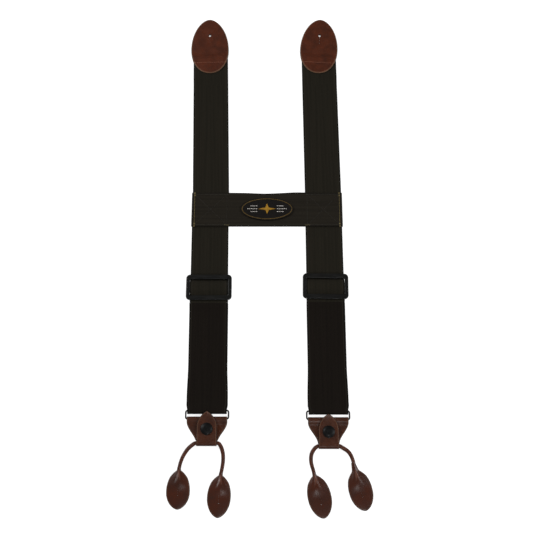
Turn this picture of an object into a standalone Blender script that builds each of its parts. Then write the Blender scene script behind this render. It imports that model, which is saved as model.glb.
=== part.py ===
"""H-back button-on suspenders, laid flat on a surface, front ends toward -Y.

Two 50 mm webbing straps are joined across the back by a band that carries a rubber patch.
Toward +Y each strap ends in an egg-shaped leather button tab. Toward -Y each strap runs over
a tri-glide adjuster and round a wire ring. A leather yoke hangs on the ring, and its snap-down
tongue holds a rolled-leather cord with a button tab at each end.

Units are metres, +Z up. Layout numbers are measured from the middle of the cross band, and
the root empty then shifts the whole object so that its box is centred on X = Y = 0.
"""

import math
from dataclasses import dataclass

import bmesh
import bpy
from mathutils import Matrix, Vector

# ---- driving dimensions -------------------------------------------------------------------
WEBBING_WIDTH = 0.050          # nominal 2 in elastic webbing
WEBBING_T = 0.0014
LEATHER_T = 0.0015
GAP = 0.0003                   # clearance between touching pieces
LAYER = WEBBING_T + GAP        # height of one more webbing layer

BAND_LENGTH = 0.2064           # cross band, end to end
PATCH_LENGTH, PATCH_WIDTH, PATCH_T = 0.0712, 0.0328, 0.0018
PATCH_RIM_INSET, PATCH_RIM_W, PATCH_RELIEF = 0.0011, 0.0014, 0.0005

REAR_TAB_LENGTH, REAR_TAB_WIDTH = 0.0915, 0.0548
REAR_TAB_START = 0.2132        # lower edge of the egg-shaped tab
REAR_TAB_WIDEST = 0.0395       # from its lower edge
REAR_TAB_STRAP_END = 0.2375    # where the strap stops between the two plies
REAR_TAB_HOLE = 0.0640         # buttonhole's round end, from the tab's lower edge

GLIDE_LENGTH, GLIDE_WIDTH = 0.0604, 0.0348
GLIDE_SLOT_LENGTH, GLIDE_SLOT_WIDTH = 0.0507, 0.0224
GLIDE_FRAME_Z = (0.0050, 0.0078)
GLIDE_BAR_Z = (0.0017, 0.0041)
GLIDE_BAR_WIDTH = 0.0044
GLIDE_CORNER, GLIDE_SLOT_CORNER, GLIDE_LIP = 0.0050, 0.0010, 0.0011
GLIDE_TOP, GLIDE_FOOT = 0.0223, 0.0209       # webbing that travels with the glide, up and down
HUMP_RISE = (0.0158, 0.0034)   # above the bar: where the strap leaves the floor, and its crest
HUMP_FALL = (0.0028, 0.0112)   # below the bar: where the crest ends, and where it lies level
BAR_WRAP = 0.0018              # middle of the strap's turn round the bar
TAIL_LEVEL, TAIL_END = 0.0090, 0.0180        # below the bar, for the end that is sewn down
LOOP_SETTLE, RING_CLIMB = 0.0120, 0.0130     # lengths in which the loop drops, then climbs
LOOP_SAG = 0.0016              # how far the slack loop hangs below the ring's bar

WIRE_D = 0.0021
RING_LENGTH, RING_WIDTH = 0.0561, 0.0126     # outside sizes
RING_CORNER = 0.0021                         # at the wire's centre line
RING_Z = 0.0029
FOLD_INNER = WIRE_D / 2 + 0.0004             # inside radius of what wraps the wire

YOKE_WIDTH, YOKE_NECK_WIDTH = 0.0510, 0.0270
YOKE_SHOULDER, YOKE_TAPER = 0.0040, 0.0260   # straight part, then how far it narrows
FLAP_WIDTH, FLAP_FOOT_WIDTH = 0.0250, 0.0236
FLAP_LENGTH = 0.0430           # from its bottom fold to its tip
FLAP_ARCH = 0.0200             # length of the pointed arch
FLAP_BOW = 0.0030              # the tip curls up this far
SNAP_TO_FOLD = 0.0208
CAP_D, CAP_DOME = 0.0154, 0.0021

CORD_D = 0.0042
CORD_Z = LEATHER_T + GAP + CORD_D / 2        # where it passes through the tongue
TAB_WIDTH = 0.0290
TAB_HOLE_FROM_TIP = 0.0168
REAR_HOLE_D, TAB_HOLE_D = 0.0040, 0.0022
SLIT_W, SLIT_L = 0.0006, 0.0140

# (radius, height) profiles of the snap: the eyelet from the floor, the stud from the yoke's
# face, the socket from the tongue's underside.
EYELET = ((0, 0.0001), (0.0050, 0.0001), (0.0050, 0.0007), (0.0017, 0.0007))
STUD = ((0, 0), (0.0046, 0), (0.0046, 0.0004), (0.0020, 0.0006), (0.0024, 0.0011),
        (0.0020, 0.0016), (0, 0.0017))
SOCKET = ((0, -0.0006), (0.0028, -0.0007), (0.0028, -0.0016), (0.0054, -0.0016),
          (0.0050, -GAP), (0, -GAP))
SHANK_R, SHANK_HOLE_R, EYELET_HOLE = 0.0017, 0.0022, (0.0053, 0.0010)


@dataclass(frozen=True)
class ButtonTab:
    """One teardrop tab at an end of the leather cord."""

    neck: tuple        # X and Y of its neck, from the snap
    length: float
    lean: float        # degrees that its tip swings toward +X
    widest: float      # share of the length from neck to widest place


@dataclass(frozen=True)
class Side:
    """How one of the two straps lies."""

    name: str
    x: float             # strap's middle line at the band
    rear_slope: float    # sideways run of the rear strap, per metre
    front_slope: float   # the same for the front strap
    egg_offset: float    # tab's middle against the strap's
    egg_turn: float      # degrees, counter-clockwise
    glide_y: float
    glide_turn: float
    ring_y: float        # ring's upper bar, in the strap's fold
    ring_offset: float   # ring and leather against the strap's middle
    snap_y: float
    cord: tuple          # hand-laid route on the -X and +X side, from the snap
    tabs: tuple          # the -X tab, then the +X tab


LEFT = Side(
    name="left", x=-0.0773, rear_slope=-0.0215, front_slope=0.0056,
    egg_offset=-0.0022, egg_turn=1.4,
    glide_y=-0.1128, glide_turn=0.0, ring_y=-0.2750, ring_offset=0.0003, snap_y=-0.2987,
    cord=(
        ((-0.0333, -0.0498), (-0.0327, -0.0450), (-0.0310, -0.0385), (-0.0277, -0.0310),
         (-0.0225, -0.0235), (-0.0160, -0.0182)),
        ((0.0160, -0.0182), (0.0190, -0.0235), (0.0207, -0.0300), (0.0211, -0.0370),
         (0.0205, -0.0440), (0.0192, -0.0515), (0.0185, -0.0560)),
    ),
    tabs=(
        ButtonTab(neck=(-0.0333, -0.0502), length=0.0468, lean=-1.0, widest=0.56),
        ButtonTab(neck=(0.0184, -0.0564), length=0.0505, lean=-4.0, widest=0.53),
    ),
)
RIGHT = Side(
    name="right", x=0.0773, rear_slope=-0.0085, front_slope=0.0010,
    egg_offset=0.0006, egg_turn=-3.8,
    glide_y=-0.1112, glide_turn=-0.8, ring_y=-0.2758, ring_offset=-0.0005, snap_y=-0.3023,
    cord=(
        ((-0.0185, -0.0526), (-0.0199, -0.0465), (-0.0218, -0.0400), (-0.0226, -0.0335),
         (-0.0216, -0.0265), (-0.0185, -0.0210), (-0.0160, -0.0186)),
        ((0.0160, -0.0186), (0.0225, -0.0225), (0.0267, -0.0275), (0.0295, -0.0345),
         (0.0310, -0.0420), (0.0320, -0.0468)),
    ),
    tabs=(
        ButtonTab(neck=(-0.0184, -0.0530), length=0.0520, lean=12.4, widest=0.53),
        ButtonTab(neck=(0.0321, -0.0472), length=0.0490, lean=13.8, widest=0.53),
    ),
)

# Colour, roughness and metallic value of each finish, as linear RGB.
FINISHES = {
    "webbing": ((0.0130, 0.0115, 0.0080), 0.90, 0.0),
    "band_webbing": ((0.0165, 0.0150, 0.0110), 0.90, 0.0),
    "rubber": ((0.0060, 0.0050, 0.0050), 0.55, 0.0),
    "rubber_print": ((0.0700, 0.0420, 0.0170), 0.60, 0.0),
    "leather": ((0.0700, 0.0220, 0.0100), 0.38, 0.0),
    "tab_leather": ((0.0450, 0.0150, 0.0080), 0.32, 0.0),
    "plastic": ((0.0060, 0.0060, 0.0065), 0.35, 0.0),
    "black_wire": ((0.0080, 0.0080, 0.0080), 0.40, 1.0),
    "snap_paint": ((0.0070, 0.0090, 0.0110), 0.30, 0.3),
    "snap_brass": ((0.3300, 0.2400, 0.1200), 0.35, 1.0),
}


def finish(name):
    """The named finish, made once."""
    material = bpy.data.materials.get(name)
    if material is None:
        colour, roughness, metallic = FINISHES[name]
        material = bpy.data.materials.new(name)
        material.use_nodes = True
        shader = material.node_tree.nodes["Principled BSDF"]
        shader.inputs["Base Color"].default_value = (*colour, 1.0)
        shader.inputs["Roughness"].default_value = roughness
        shader.inputs["Metallic"].default_value = metallic
    return material


# ---- bodies and their joints --------------------------------------------------------------
class Body:
    """An empty on a joint's axis, which carries the pieces that move with it."""

    def __init__(self, name, parent=None, at=(0.0, 0.0, 0.0), turn=0.0):
        self.at = Vector(at)
        self.matrix = Matrix.Translation(self.at) @ Matrix.Rotation(turn, 4, "Z")
        self.empty = bpy.data.objects.new(name, None)
        bpy.context.scene.collection.objects.link(self.empty)
        if parent:
            self.empty.parent = parent.empty
            self.empty.matrix_local = parent.matrix.inverted() @ self.matrix

    def carry(self, obj):
        """Hang obj, whose data is in layout coordinates, on this body's axis."""
        obj.data.transform(self.matrix.inverted())
        obj.parent = self.empty
        return obj


def add(name, data, body, finish_name):
    """A new object of that data, carried by the body."""
    obj = bpy.data.objects.new(name, data)
    bpy.context.scene.collection.objects.link(obj)
    obj.data.materials.append(finish(finish_name))
    return body.carry(obj)


def mesh_of(name, bm, round_angle=None):
    """Close the bmesh into a mesh with outward faces."""
    bmesh.ops.recalc_face_normals(bm, faces=bm.faces)
    mesh = bpy.data.meshes.new(name)
    bm.to_mesh(mesh)
    bm.free()
    if round_angle:
        mesh.shade_smooth()
        mesh.set_sharp_from_angle(angle=round_angle)
    return mesh


# ---- paths and outlines -------------------------------------------------------------------
def ease(start, stop, steps=8):
    """(Y, Z) points that leave start level and reach stop level."""
    (y0, z0), (y1, z1) = start, stop
    shares = [i / steps for i in range(steps + 1)]
    return [(y0 + (y1 - y0) * u, z0 + (z1 - z0) * (3 - 2 * u) * u * u) for u in shares]


def arc(centre, radius, start, stop, steps=12):
    """(Y, Z) points on a circle, with angles in degrees from +Y toward +Z."""
    angles = [math.radians(start + (stop - start) * i / steps) for i in range(steps + 1)]
    return [(centre[0] + radius * math.cos(a), centre[1] + radius * math.sin(a)) for a in angles]


def leaf_half_width(s, length, width, widest, base_power, tip_power):
    """Half width of an egg or teardrop outline at the distance s from its base."""
    if s < widest:
        u, power = (widest - s) / widest, base_power
    else:
        u, power = (s - widest) / (length - widest), tip_power
    return width / 2 * max(0.0, 1 - u * u) ** power


def leaf_stations(length, steps=26):
    """Distances from base to tip, closer together where a leaf outline turns fast."""
    return [length * (1 - math.cos(math.pi * i / steps)) / 2 for i in range(steps + 1)]


def strip(path, half_width, thickness, middle=lambda i, y: 0.0):
    """A closed strip swept along (Y, Z) points.

    half_width(i, y) and middle(i, y) give its half width and its middle line's X at point i.
    """
    bm = bmesh.new()
    rows = []
    for i, (y, z) in enumerate(path):
        before, after = path[max(i - 1, 0)], path[min(i + 1, len(path) - 1)]
        along = Vector((after[0] - before[0], after[1] - before[1])).normalized()
        rise = Vector((-along.y, along.x)) * thickness / 2
        x, half = middle(i, y), half_width(i, y)
        rows.append([
            bm.verts.new((x + side * half, y + face * rise.x, z + face * rise.y))
            for side, face in ((-1, -1), (1, -1), (1, 1), (-1, 1))
        ])
    for row, following in zip(rows, rows[1:]):
        for k in range(4):
            bm.faces.new((row[k], row[k - 1], following[k - 1], following[k]))
    bm.faces.new(rows[0])
    bm.faces.new(rows[-1])
    return bm


def prism(outline, low, high):
    """A closed solid with that (X, Y) outline between two heights."""
    bm = bmesh.new()
    face = bm.faces.new([bm.verts.new((x, y, low)) for x, y in outline])
    top = bmesh.ops.extrude_face_region(bm, geom=[face])["geom"]
    corners = [item for item in top if isinstance(item, bmesh.types.BMVert)]
    bmesh.ops.translate(bm, verts=corners, vec=(0.0, 0.0, high - low))
    return bm


def turned(profile, centre, steps=24):
    """A closed solid of revolution from (radius, Z) points, which start and end on the axis."""
    bm = bmesh.new()
    points = [bm.verts.new((centre[0] + r, centre[1], z)) for r, z in profile]
    edges = [bm.edges.new(pair) for pair in zip(points, points[1:])]
    bmesh.ops.spin(
        bm, geom=points + edges, cent=(*centre, 0.0), axis=(0, 0, 1),
        angle=math.tau, steps=steps, use_duplicate=False,
    )
    bmesh.ops.remove_doubles(bm, verts=bm.verts, dist=1e-6)
    return bm


def rounded_box_outline(length, width, corner, steps=5):
    """(X, Y) points of a rectangle with round corners."""
    points = []
    for quarter in range(4):
        angle = quarter * math.pi / 2
        side_x = 1 if quarter in (0, 3) else -1
        side_y = 1 if quarter < 2 else -1
        for i in range(steps + 1):
            a = angle + math.pi / 2 * i / steps
            points.append((
                side_x * (length / 2 - corner) + corner * math.cos(a),
                side_y * (width / 2 - corner) + corner * math.sin(a),
            ))
    return points


def ellipse_outline(length, width, steps=48):
    """(X, Y) points of an ellipse."""
    angles = [math.tau * i / steps for i in range(steps)]
    return [(length / 2 * math.cos(a), width / 2 * math.sin(a)) for a in angles]


def keyhole_outline(at, toward, diameter, steps=10):
    """(X, Y) points of a buttonhole: a round end at the point, and a slit that runs toward."""
    radius = diameter / 2
    open_angle = math.asin(SLIT_W / diameter)
    toward = Vector(toward).normalized()
    across = Vector((-toward.y, toward.x))
    at = Vector(at)
    points = []
    for i in range(steps + 1):
        a = open_angle + (math.tau - 2 * open_angle) * i / steps
        points.append(at + radius * (toward * math.cos(a) + across * math.sin(a)))
    end = at + toward * SLIT_L
    points += [end - across * SLIT_W / 2, end + across * SLIT_W / 2]
    return [tuple(p) for p in points]


def cut(obj, bm, body, name):
    """Take the bmesh's shape out of the object, and return the cutter."""
    cutter = bpy.data.objects.new(name, mesh_of(name, bm))
    bpy.context.scene.collection.objects.link(cutter)
    body.carry(cutter)
    cutter.hide_render = True
    cutter.display_type = "WIRE"
    modifier = obj.modifiers.new(name, "BOOLEAN")
    modifier.operation = "DIFFERENCE"
    modifier.object = cutter
    return cutter


# ---- the pieces at the middle of the back -------------------------------------------------
def make_cross_band(root):
    """The band that lies over both straps, and the rubber patch on its middle."""
    half = WEBBING_WIDTH / 2
    z = LAYER + WEBBING_T / 2
    band = strip([(-half, z), (half, z)], lambda i, y: BAND_LENGTH / 2, WEBBING_T)
    add("cross_band", mesh_of("cross_band", band), root, "band_webbing")

    low = LAYER + WEBBING_T + GAP
    high = low + PATCH_T
    base = prism(ellipse_outline(PATCH_LENGTH, PATCH_WIDTH), low, high)
    add("patch_base", mesh_of("patch_base", base, math.radians(40)), root, "rubber")

    low, high = high + GAP, high + GAP + PATCH_RELIEF
    length, width = PATCH_LENGTH - 2 * PATCH_RIM_INSET, PATCH_WIDTH - 2 * PATCH_RIM_INSET
    rim = add(
        "patch_rim", mesh_of("patch_rim", prism(ellipse_outline(length, width), low, high)),
        root, "rubber_print",
    )
    inside = ellipse_outline(length - 2 * PATCH_RIM_W, width - 2 * PATCH_RIM_W)
    cut(rim, prism(inside, low - 0.001, high + 0.001), root, "patch_rim_cutter")

    long_ray, short_ray, waist = 0.0200, 0.0065, (0.0022, 0.0012)
    star = [(long_ray, 0), waist, (0, short_ray), (-waist[0], waist[1]), (-long_ray, 0),
            (-waist[0], -waist[1]), (0, -short_ray), (waist[0], -waist[1])]
    add("patch_star", mesh_of("patch_star", prism(star, low, high)), root, "rubber_print")


# ---- the webbing of one side --------------------------------------------------------------
def strap_middle(side):
    """The X of the strap's middle line, as a function of Y."""
    edge = WEBBING_WIDTH / 2

    def middle(_, y):
        if y > edge:
            return side.x + side.rear_slope * (y - edge)
        if y < -edge:
            return side.x + side.front_slope * (-edge - y)
        return side.x

    return middle


def webbing(name, path, body, side, drift=0.0):
    """A length of strap; drift spreads its two ends sideways where it doubles back."""
    middle = strap_middle(side)
    last = len(path) - 1

    def drifting(i, y):
        return middle(i, y) + drift * (0.5 - i / last)

    bm = strip(path, lambda i, y: WEBBING_WIDTH / 2, WEBBING_T, drifting)
    return add(name, mesh_of(name, bm, math.radians(30)), body, "webbing")


def make_rear_strap(side, root):
    """The strap from the cross band to the rear tab, and the two bodies that it folds between."""
    edge = WEBBING_WIDTH / 2
    middle = strap_middle(side)
    flat = WEBBING_T / 2
    inside = LEATHER_T + GAP + WEBBING_T / 2
    fold_y = edge + GAP
    flex_y = REAR_TAB_START - 0.0020
    strap = Body(f"{side.name}_back", root, (middle(0, fold_y), fold_y, WEBBING_T))
    tab = Body(
        f"{side.name}_rear_tab", strap, (middle(0, flex_y), flex_y, inside + WEBBING_T / 2)
    )

    under_band = [(-edge - GAP / 2, flat), (edge + GAP / 2, flat)]
    webbing(f"{side.name}_band_strap", under_band, root, side)

    rise = ease((flex_y - 0.0160, flat), (flex_y - 0.0030, inside))
    path = [(fold_y + GAP / 2, flat), *rise, (flex_y - GAP / 2, inside)]
    webbing(f"{side.name}_back_strap", path, strap, side)

    path = [(flex_y + GAP / 2, inside), (REAR_TAB_STRAP_END, inside)]
    webbing(f"{side.name}_rear_tab_strap_end", path, tab, side)
    return tab


def make_rear_tab(side, tab):
    """Two egg-shaped leather plies with the strap's end and a buttonhole between them."""
    centre = Vector((
        strap_middle(side)(0, REAR_TAB_START) + side.egg_offset,
        REAR_TAB_START + REAR_TAB_LENGTH / 2,
        0.0,
    ))
    turn = (
        Matrix.Translation(centre)
        @ Matrix.Rotation(math.radians(side.egg_turn), 4, "Z")
        @ Matrix.Translation(-centre)
    )

    def outline(_, y):
        s = y - REAR_TAB_START
        half = leaf_half_width(s, REAR_TAB_LENGTH, REAR_TAB_WIDTH, REAR_TAB_WIDEST, 0.45, 0.56)
        return max(half, 0.0012)

    low = LEATHER_T / 2
    over_end = LEATHER_T + GAP + LAYER + LEATHER_T / 2
    over_ply = LEATHER_T + GAP + LEATHER_T / 2
    step = (REAR_TAB_STRAP_END + 0.0008, REAR_TAB_STRAP_END + 0.0078)

    def face_height(y):
        u = min(max((y - step[0]) / (step[1] - step[0]), 0.0), 1.0)
        return over_end + (over_ply - over_end) * (3 - 2 * u) * u * u

    stations = [REAR_TAB_START + s for s in leaf_stations(REAR_TAB_LENGTH, 34)]
    hole = (centre.x, REAR_TAB_START + REAR_TAB_HOLE)
    for piece, path in (
        ("rear_tab_backing", [(y, low) for y in stations]),
        ("rear_tab_face", [(y, face_height(y)) for y in stations]),
    ):
        name = f"{side.name}_{piece}"
        bm = strip(path, outline, LEATHER_T, lambda i, y: centre.x)
        bm.transform(turn)
        ply = add(name, mesh_of(name, bm, math.radians(30)), tab, "leather")
        keyhole = prism(keyhole_outline(hole, (0, -1), REAR_HOLE_D), -0.001, 0.009)
        keyhole.transform(turn)
        cut(ply, keyhole, tab, f"{name}_cutter")


def make_front_strap(side, root):
    """The strap from the cross band down to its fold round the ring, with its three bodies."""
    edge = WEBBING_WIDTH / 2
    middle = strap_middle(side)
    flat = WEBBING_T / 2
    fold_y = -edge - GAP
    shoulder = Body(f"{side.name}_shoulder", root, (middle(0, fold_y), fold_y, WEBBING_T))
    glide = Body(f"{side.name}_adjuster", shoulder, (middle(0, side.glide_y), side.glide_y, flat))
    loop = Body(f"{side.name}_loop", glide, (middle(0, side.ring_y), side.ring_y, RING_Z))

    top, foot = side.glide_y + GLIDE_TOP, side.glide_y - GLIDE_FOOT
    path = [(fold_y - GAP / 2, flat), (top + GAP / 2, flat)]
    webbing(f"{side.name}_shoulder_strap", path, shoulder, side)

    over_bar = GLIDE_BAR_Z[1] + GAP + LAYER + WEBBING_T / 2
    over_tail = 2 * LAYER + WEBBING_T / 2
    y = side.glide_y
    path = [
        (top - GAP / 2, flat),
        *ease((y + HUMP_RISE[0], flat), (y + HUMP_RISE[1], over_bar), 10),
        *ease((y - HUMP_FALL[0], over_bar), (y - HUMP_FALL[1], over_tail), 8),
        (foot + GAP / 2, over_tail),
    ]
    webbing(f"{side.name}_adjuster_strap", path, glide, side)

    wrap = (y + BAR_WRAP, RING_Z)
    turn_radius = GLIDE_BAR_Z[1] + GAP + WEBBING_T / 2 - RING_Z
    path = [
        (foot + GAP / 2, flat),
        *arc(wrap, turn_radius, -90, 90, 10),
        *ease((y - BAR_WRAP, RING_Z + turn_radius), (y - TAIL_LEVEL, LAYER + WEBBING_T / 2), 8),
        (y - TAIL_END, LAYER + WEBBING_T / 2),
    ]
    webbing(f"{side.name}_adjuster_loop", path, glide, side)

    turn_radius = FOLD_INNER + WEBBING_T / 2
    path = [
        *ease((foot - GAP / 2, over_tail), (foot - LOOP_SETTLE, LAYER + WEBBING_T / 2), 6),
        *ease((side.ring_y + RING_CLIMB, LAYER + WEBBING_T / 2),
              (side.ring_y + 0.0015, RING_Z + turn_radius), 6),
        *arc((side.ring_y - LOOP_SAG, RING_Z), turn_radius, 90, 270),
        (foot - GAP / 2, flat),
    ]
    webbing(f"{side.name}_loop_strap", path, loop, side, drift=-0.0010)
    return glide, loop


def make_adjuster(side, glide):
    """A tri-glide: a flat frame, and a lower bar that the strap's end is sewn round."""
    x = strap_middle(side)(0, side.glide_y)
    place = (
        Matrix.Translation((x, side.glide_y, 0.0))
        @ Matrix.Rotation(math.radians(side.glide_turn), 4, "Z")
    )
    low, high = GLIDE_FRAME_Z
    bar_low, bar_high = GLIDE_BAR_Z
    name = f"{side.name}_adjuster_frame"

    frame = prism(rounded_box_outline(GLIDE_LENGTH, GLIDE_WIDTH, GLIDE_CORNER), low, high)
    frame.transform(place)
    obj = add(name, mesh_of(name, frame), glide, "plastic")
    round_edges(obj)
    slot = prism(
        rounded_box_outline(GLIDE_SLOT_LENGTH, GLIDE_SLOT_WIDTH, GLIDE_SLOT_CORNER, 3),
        low - 0.001, high + 0.001,
    )
    slot.transform(place)
    cut(obj, slot, glide, f"{name}_cutter")

    inner, outer = GLIDE_SLOT_LENGTH / 2, GLIDE_LENGTH / 2 - 0.0012
    section = [
        (-outer, bar_low), (outer, bar_low), (outer, low + GLIDE_LIP), (inner, low + GLIDE_LIP),
        (inner, bar_high), (-inner, bar_high), (-inner, low + GLIDE_LIP),
        (-outer, low + GLIDE_LIP),
    ]
    bar = prism(section, -GLIDE_BAR_WIDTH / 2, GLIDE_BAR_WIDTH / 2)
    bar.transform(Matrix.Rotation(math.pi / 2, 4, "X"))
    bar.transform(place)
    round_edges(cut(obj, bar, glide, f"{name}_bar"))
    obj.modifiers[-1].operation = "UNION"


def round_edges(obj):
    """Round every sharp edge of a moulded shape."""
    bevel = obj.modifiers.new("round_edges", "BEVEL")
    bevel.width = 0.0005
    bevel.segments = 2
    bevel.limit_method = "ANGLE"
    bevel.angle_limit = math.radians(50)


# ---- ring, yoke and snap ------------------------------------------------------------------
def make_ring(side, loop):
    """The wire ring that hangs in the strap's fold."""
    x = strap_middle(side)(0, side.ring_y) + side.ring_offset
    spacing = RING_WIDTH - WIRE_D
    centre_y = side.ring_y - spacing / 2
    ring = Body(f"{side.name}_ring_body", loop, (x, side.ring_y, RING_Z))
    name = f"{side.name}_ring"
    curve = bpy.data.curves.new(name, "CURVE")
    curve.dimensions = "3D"
    curve.bevel_depth = WIRE_D / 2
    curve.bevel_resolution = 2
    points = rounded_box_outline(RING_LENGTH - WIRE_D, spacing, RING_CORNER, 4)
    spline = curve.splines.new("POLY")
    spline.points.add(len(points) - 1)
    for point, (px, py) in zip(spline.points, points):
        point.co = (x + px, centre_y + py, RING_Z, 1.0)
    spline.use_cyclic_u = True
    add(name, curve, ring, "black_wire")
    return ring, side.ring_y - spacing


def yoke_half_width(distance):
    """Half width of the shield-shaped yoke at that distance below the ring's bar."""
    u = min(max((distance - YOKE_SHOULDER) / YOKE_TAPER, 0.0), 1.0)
    return (YOKE_WIDTH - (YOKE_WIDTH - YOKE_NECK_WIDTH) * (3 - 2 * u) * u * u) / 2


def make_yoke(side, ring, bar_y):
    """Shield, fold over the ring's lower bar, back ply and the root of the tongue, in one."""
    x = ring.at.x
    cord_y = side.snap_y - SNAP_TO_FOLD + CORD_Z
    yoke = Body(f"{side.name}_yoke_body", ring, (x, bar_y, RING_Z))
    turn_radius = FOLD_INNER + LEATHER_T / 2
    front = LEATHER_T + GAP + LEATHER_T / 2
    front_path = [
        (cord_y + 0.0043, front),
        *[(cord_y + 0.0043 + (bar_y - 0.0082 - cord_y - 0.0043) * i / 10, front)
          for i in range(1, 10)],
        *ease((bar_y - 0.0082, front), (bar_y - 0.0008, RING_Z + turn_radius), 7),
        *arc((bar_y, RING_Z), turn_radius, 90, -90),
    ]
    back = [
        (bar_y + (cord_y + 0.0043 - bar_y) * i / 14, LEATHER_T / 2) for i in range(1, 15)
    ]
    root = [
        (cord_y + 0.0030, LEATHER_T / 2),
        *arc((cord_y, CORD_Z), CORD_Z - LEATHER_T / 2, -90, -180 + 2.8, 7),
    ]
    root_start = len(front_path) + len(back)

    def outline(i, y):
        if i >= root_start:
            return FLAP_FOOT_WIDTH / 2
        return yoke_half_width(bar_y - y)

    name = f"{side.name}_yoke"
    bm = strip(front_path + back + root, outline, LEATHER_T, lambda i, y: x)
    obj = add(name, mesh_of(name, bm, math.radians(30)), yoke, "leather")
    snap = (x, side.snap_y)
    wide, deep = EYELET_HOLE
    face = front + LEATHER_T / 2
    hole = turned([(0, -0.001), (wide, -0.001), (wide, deep), (SHANK_HOLE_R, deep),
                   (SHANK_HOLE_R, face + 0.001), (0, face + 0.001)], snap)
    cut(obj, hole, yoke, f"{name}_cutter")

    eyelet = turned([*EYELET, (SHANK_R, face), (0, face)], snap)
    name = f"{side.name}_snap_eyelet"
    add(name, mesh_of(name, eyelet, math.radians(30)), yoke, "snap_brass")
    stud = turned([(r, face + GAP + h) for r, h in STUD], snap)
    name = f"{side.name}_snap_stud"
    add(name, mesh_of(name, stud, math.radians(30)), yoke, "snap_brass")
    return yoke


def make_flap(side, yoke):
    """The tongue that folds up round the cord and snaps down on the yoke."""
    x = yoke.at.x
    fold_y = side.snap_y - SNAP_TO_FOLD
    cord_y = fold_y + CORD_Z
    turn_radius = CORD_Z - LEATHER_T / 2
    over = CORD_Z + turn_radius
    flap = Body(f"{side.name}_flap_body", yoke, (x, fold_y, CORD_Z))
    tip_y = fold_y + FLAP_LENGTH
    bow_start = side.snap_y + 0.0085
    steps = 26
    path = arc((cord_y, CORD_Z), turn_radius, 180 - 2.8, 90, 7)
    for i in range(1, steps + 1):
        y = cord_y + (tip_y - cord_y) * math.sin(math.pi / 2 * i / steps)
        bow = max(0.0, (y - bow_start) / (tip_y - bow_start)) ** 2
        path.append((y, over + FLAP_BOW * bow))
    arch_radius = (FLAP_ARCH ** 2 + (FLAP_WIDTH / 2) ** 2) / FLAP_WIDTH

    def outline(_, y):
        to_tip = tip_y - y
        if to_tip > FLAP_ARCH:
            share = min((y - fold_y) / 0.0080, 1.0)
            return (FLAP_FOOT_WIDTH + (FLAP_WIDTH - FLAP_FOOT_WIDTH) * share) / 2
        rest = FLAP_ARCH - to_tip
        half = FLAP_WIDTH / 2 - arch_radius + math.sqrt(arch_radius ** 2 - rest ** 2)
        return max(half, 0.0004)

    name = f"{side.name}_snap_flap"
    bm = strip(path, outline, LEATHER_T, lambda i, y: x)
    obj = add(name, mesh_of(name, bm, math.radians(30)), flap, "leather")
    snap = (x, side.snap_y)
    under, top = over - LEATHER_T / 2, over + LEATHER_T / 2 + GAP
    hole = turned([(0, under - 0.001), (SHANK_HOLE_R, under - 0.001),
                   (SHANK_HOLE_R, top + 0.001), (0, top + 0.001)], snap)
    cut(obj, hole, flap, f"{name}_cutter")

    socket = turned([(r, under + h) for r, h in SOCKET], snap)
    name = f"{side.name}_snap_socket"
    add(name, mesh_of(name, socket, math.radians(30)), flap, "snap_brass")
    dome = [(CAP_D / 2 * math.cos(a), top + 0.0006 + (CAP_DOME - 0.0006) * math.sin(a))
            for a in (math.radians(15 * k) for k in range(6))]
    profile = [(0, under), (SHANK_R, under), (SHANK_R, top), (CAP_D / 2 - 0.0003, top),
               *dome, (0, top + CAP_DOME)]
    name = f"{side.name}_snap_cap"
    cap = turned(profile, snap, 32)
    add(name, mesh_of(name, cap, math.radians(40)), flap, "snap_paint")


# ---- leather cord and its button tabs -----------------------------------------------------
def smooth_route(points, spacing=0.0034):
    """Points about one cord diameter apart, on a smooth curve through the given ones."""
    route = []
    padded = [2 * points[0] - points[1], *points, 2 * points[-1] - points[-2]]
    for a, b, c, d in zip(padded, padded[1:], padded[2:], padded[3:]):
        steps = max(1, round((c - b).length / spacing))
        for i in range(steps):
            t = i / steps
            route.append(0.5 * (
                2 * b + (c - a) * t + (2 * a - 5 * b + 4 * c - d) * t ** 2
                + (3 * b - a - 3 * c + d) * t ** 3
            ))
    return [*route, points[-1]]


def make_cord(side, yoke):
    """The rolled-leather cord that passes through the tongue's fold."""
    x, snap_y = yoke.at.x, side.snap_y
    cord_y = snap_y - SNAP_TO_FOLD + CORD_Z
    body = Body(f"{side.name}_cord_body", yoke, (x, cord_y, CORD_Z))
    low = CORD_D / 2 + 0.0001
    minus, plus = side.cord
    inside = [Vector((x + dx, cord_y, CORD_Z)) for dx in (-0.0125, -0.0062, 0, 0.0062, 0.0125)]

    def on_surface(route, near_end):
        points = [Vector((x + dx, snap_y + dy, low)) for dx, dy in route]
        points[near_end].z = (CORD_Z + low) / 2 + 0.0004
        return points

    route = smooth_route([*on_surface(minus, -1), *inside, *on_surface(plus, 0)])
    name = f"{side.name}_leather_cord"
    curve = bpy.data.curves.new(name, "CURVE")
    curve.dimensions = "3D"
    curve.bevel_depth = CORD_D / 2
    curve.bevel_resolution = 2
    curve.use_fill_caps = True
    spline = curve.splines.new("POLY")
    spline.points.add(len(route) - 1)
    for point, place in zip(spline.points, route):
        point.co = (*place, 1.0)
    add(name, curve, body, "tab_leather")
    return body


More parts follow.
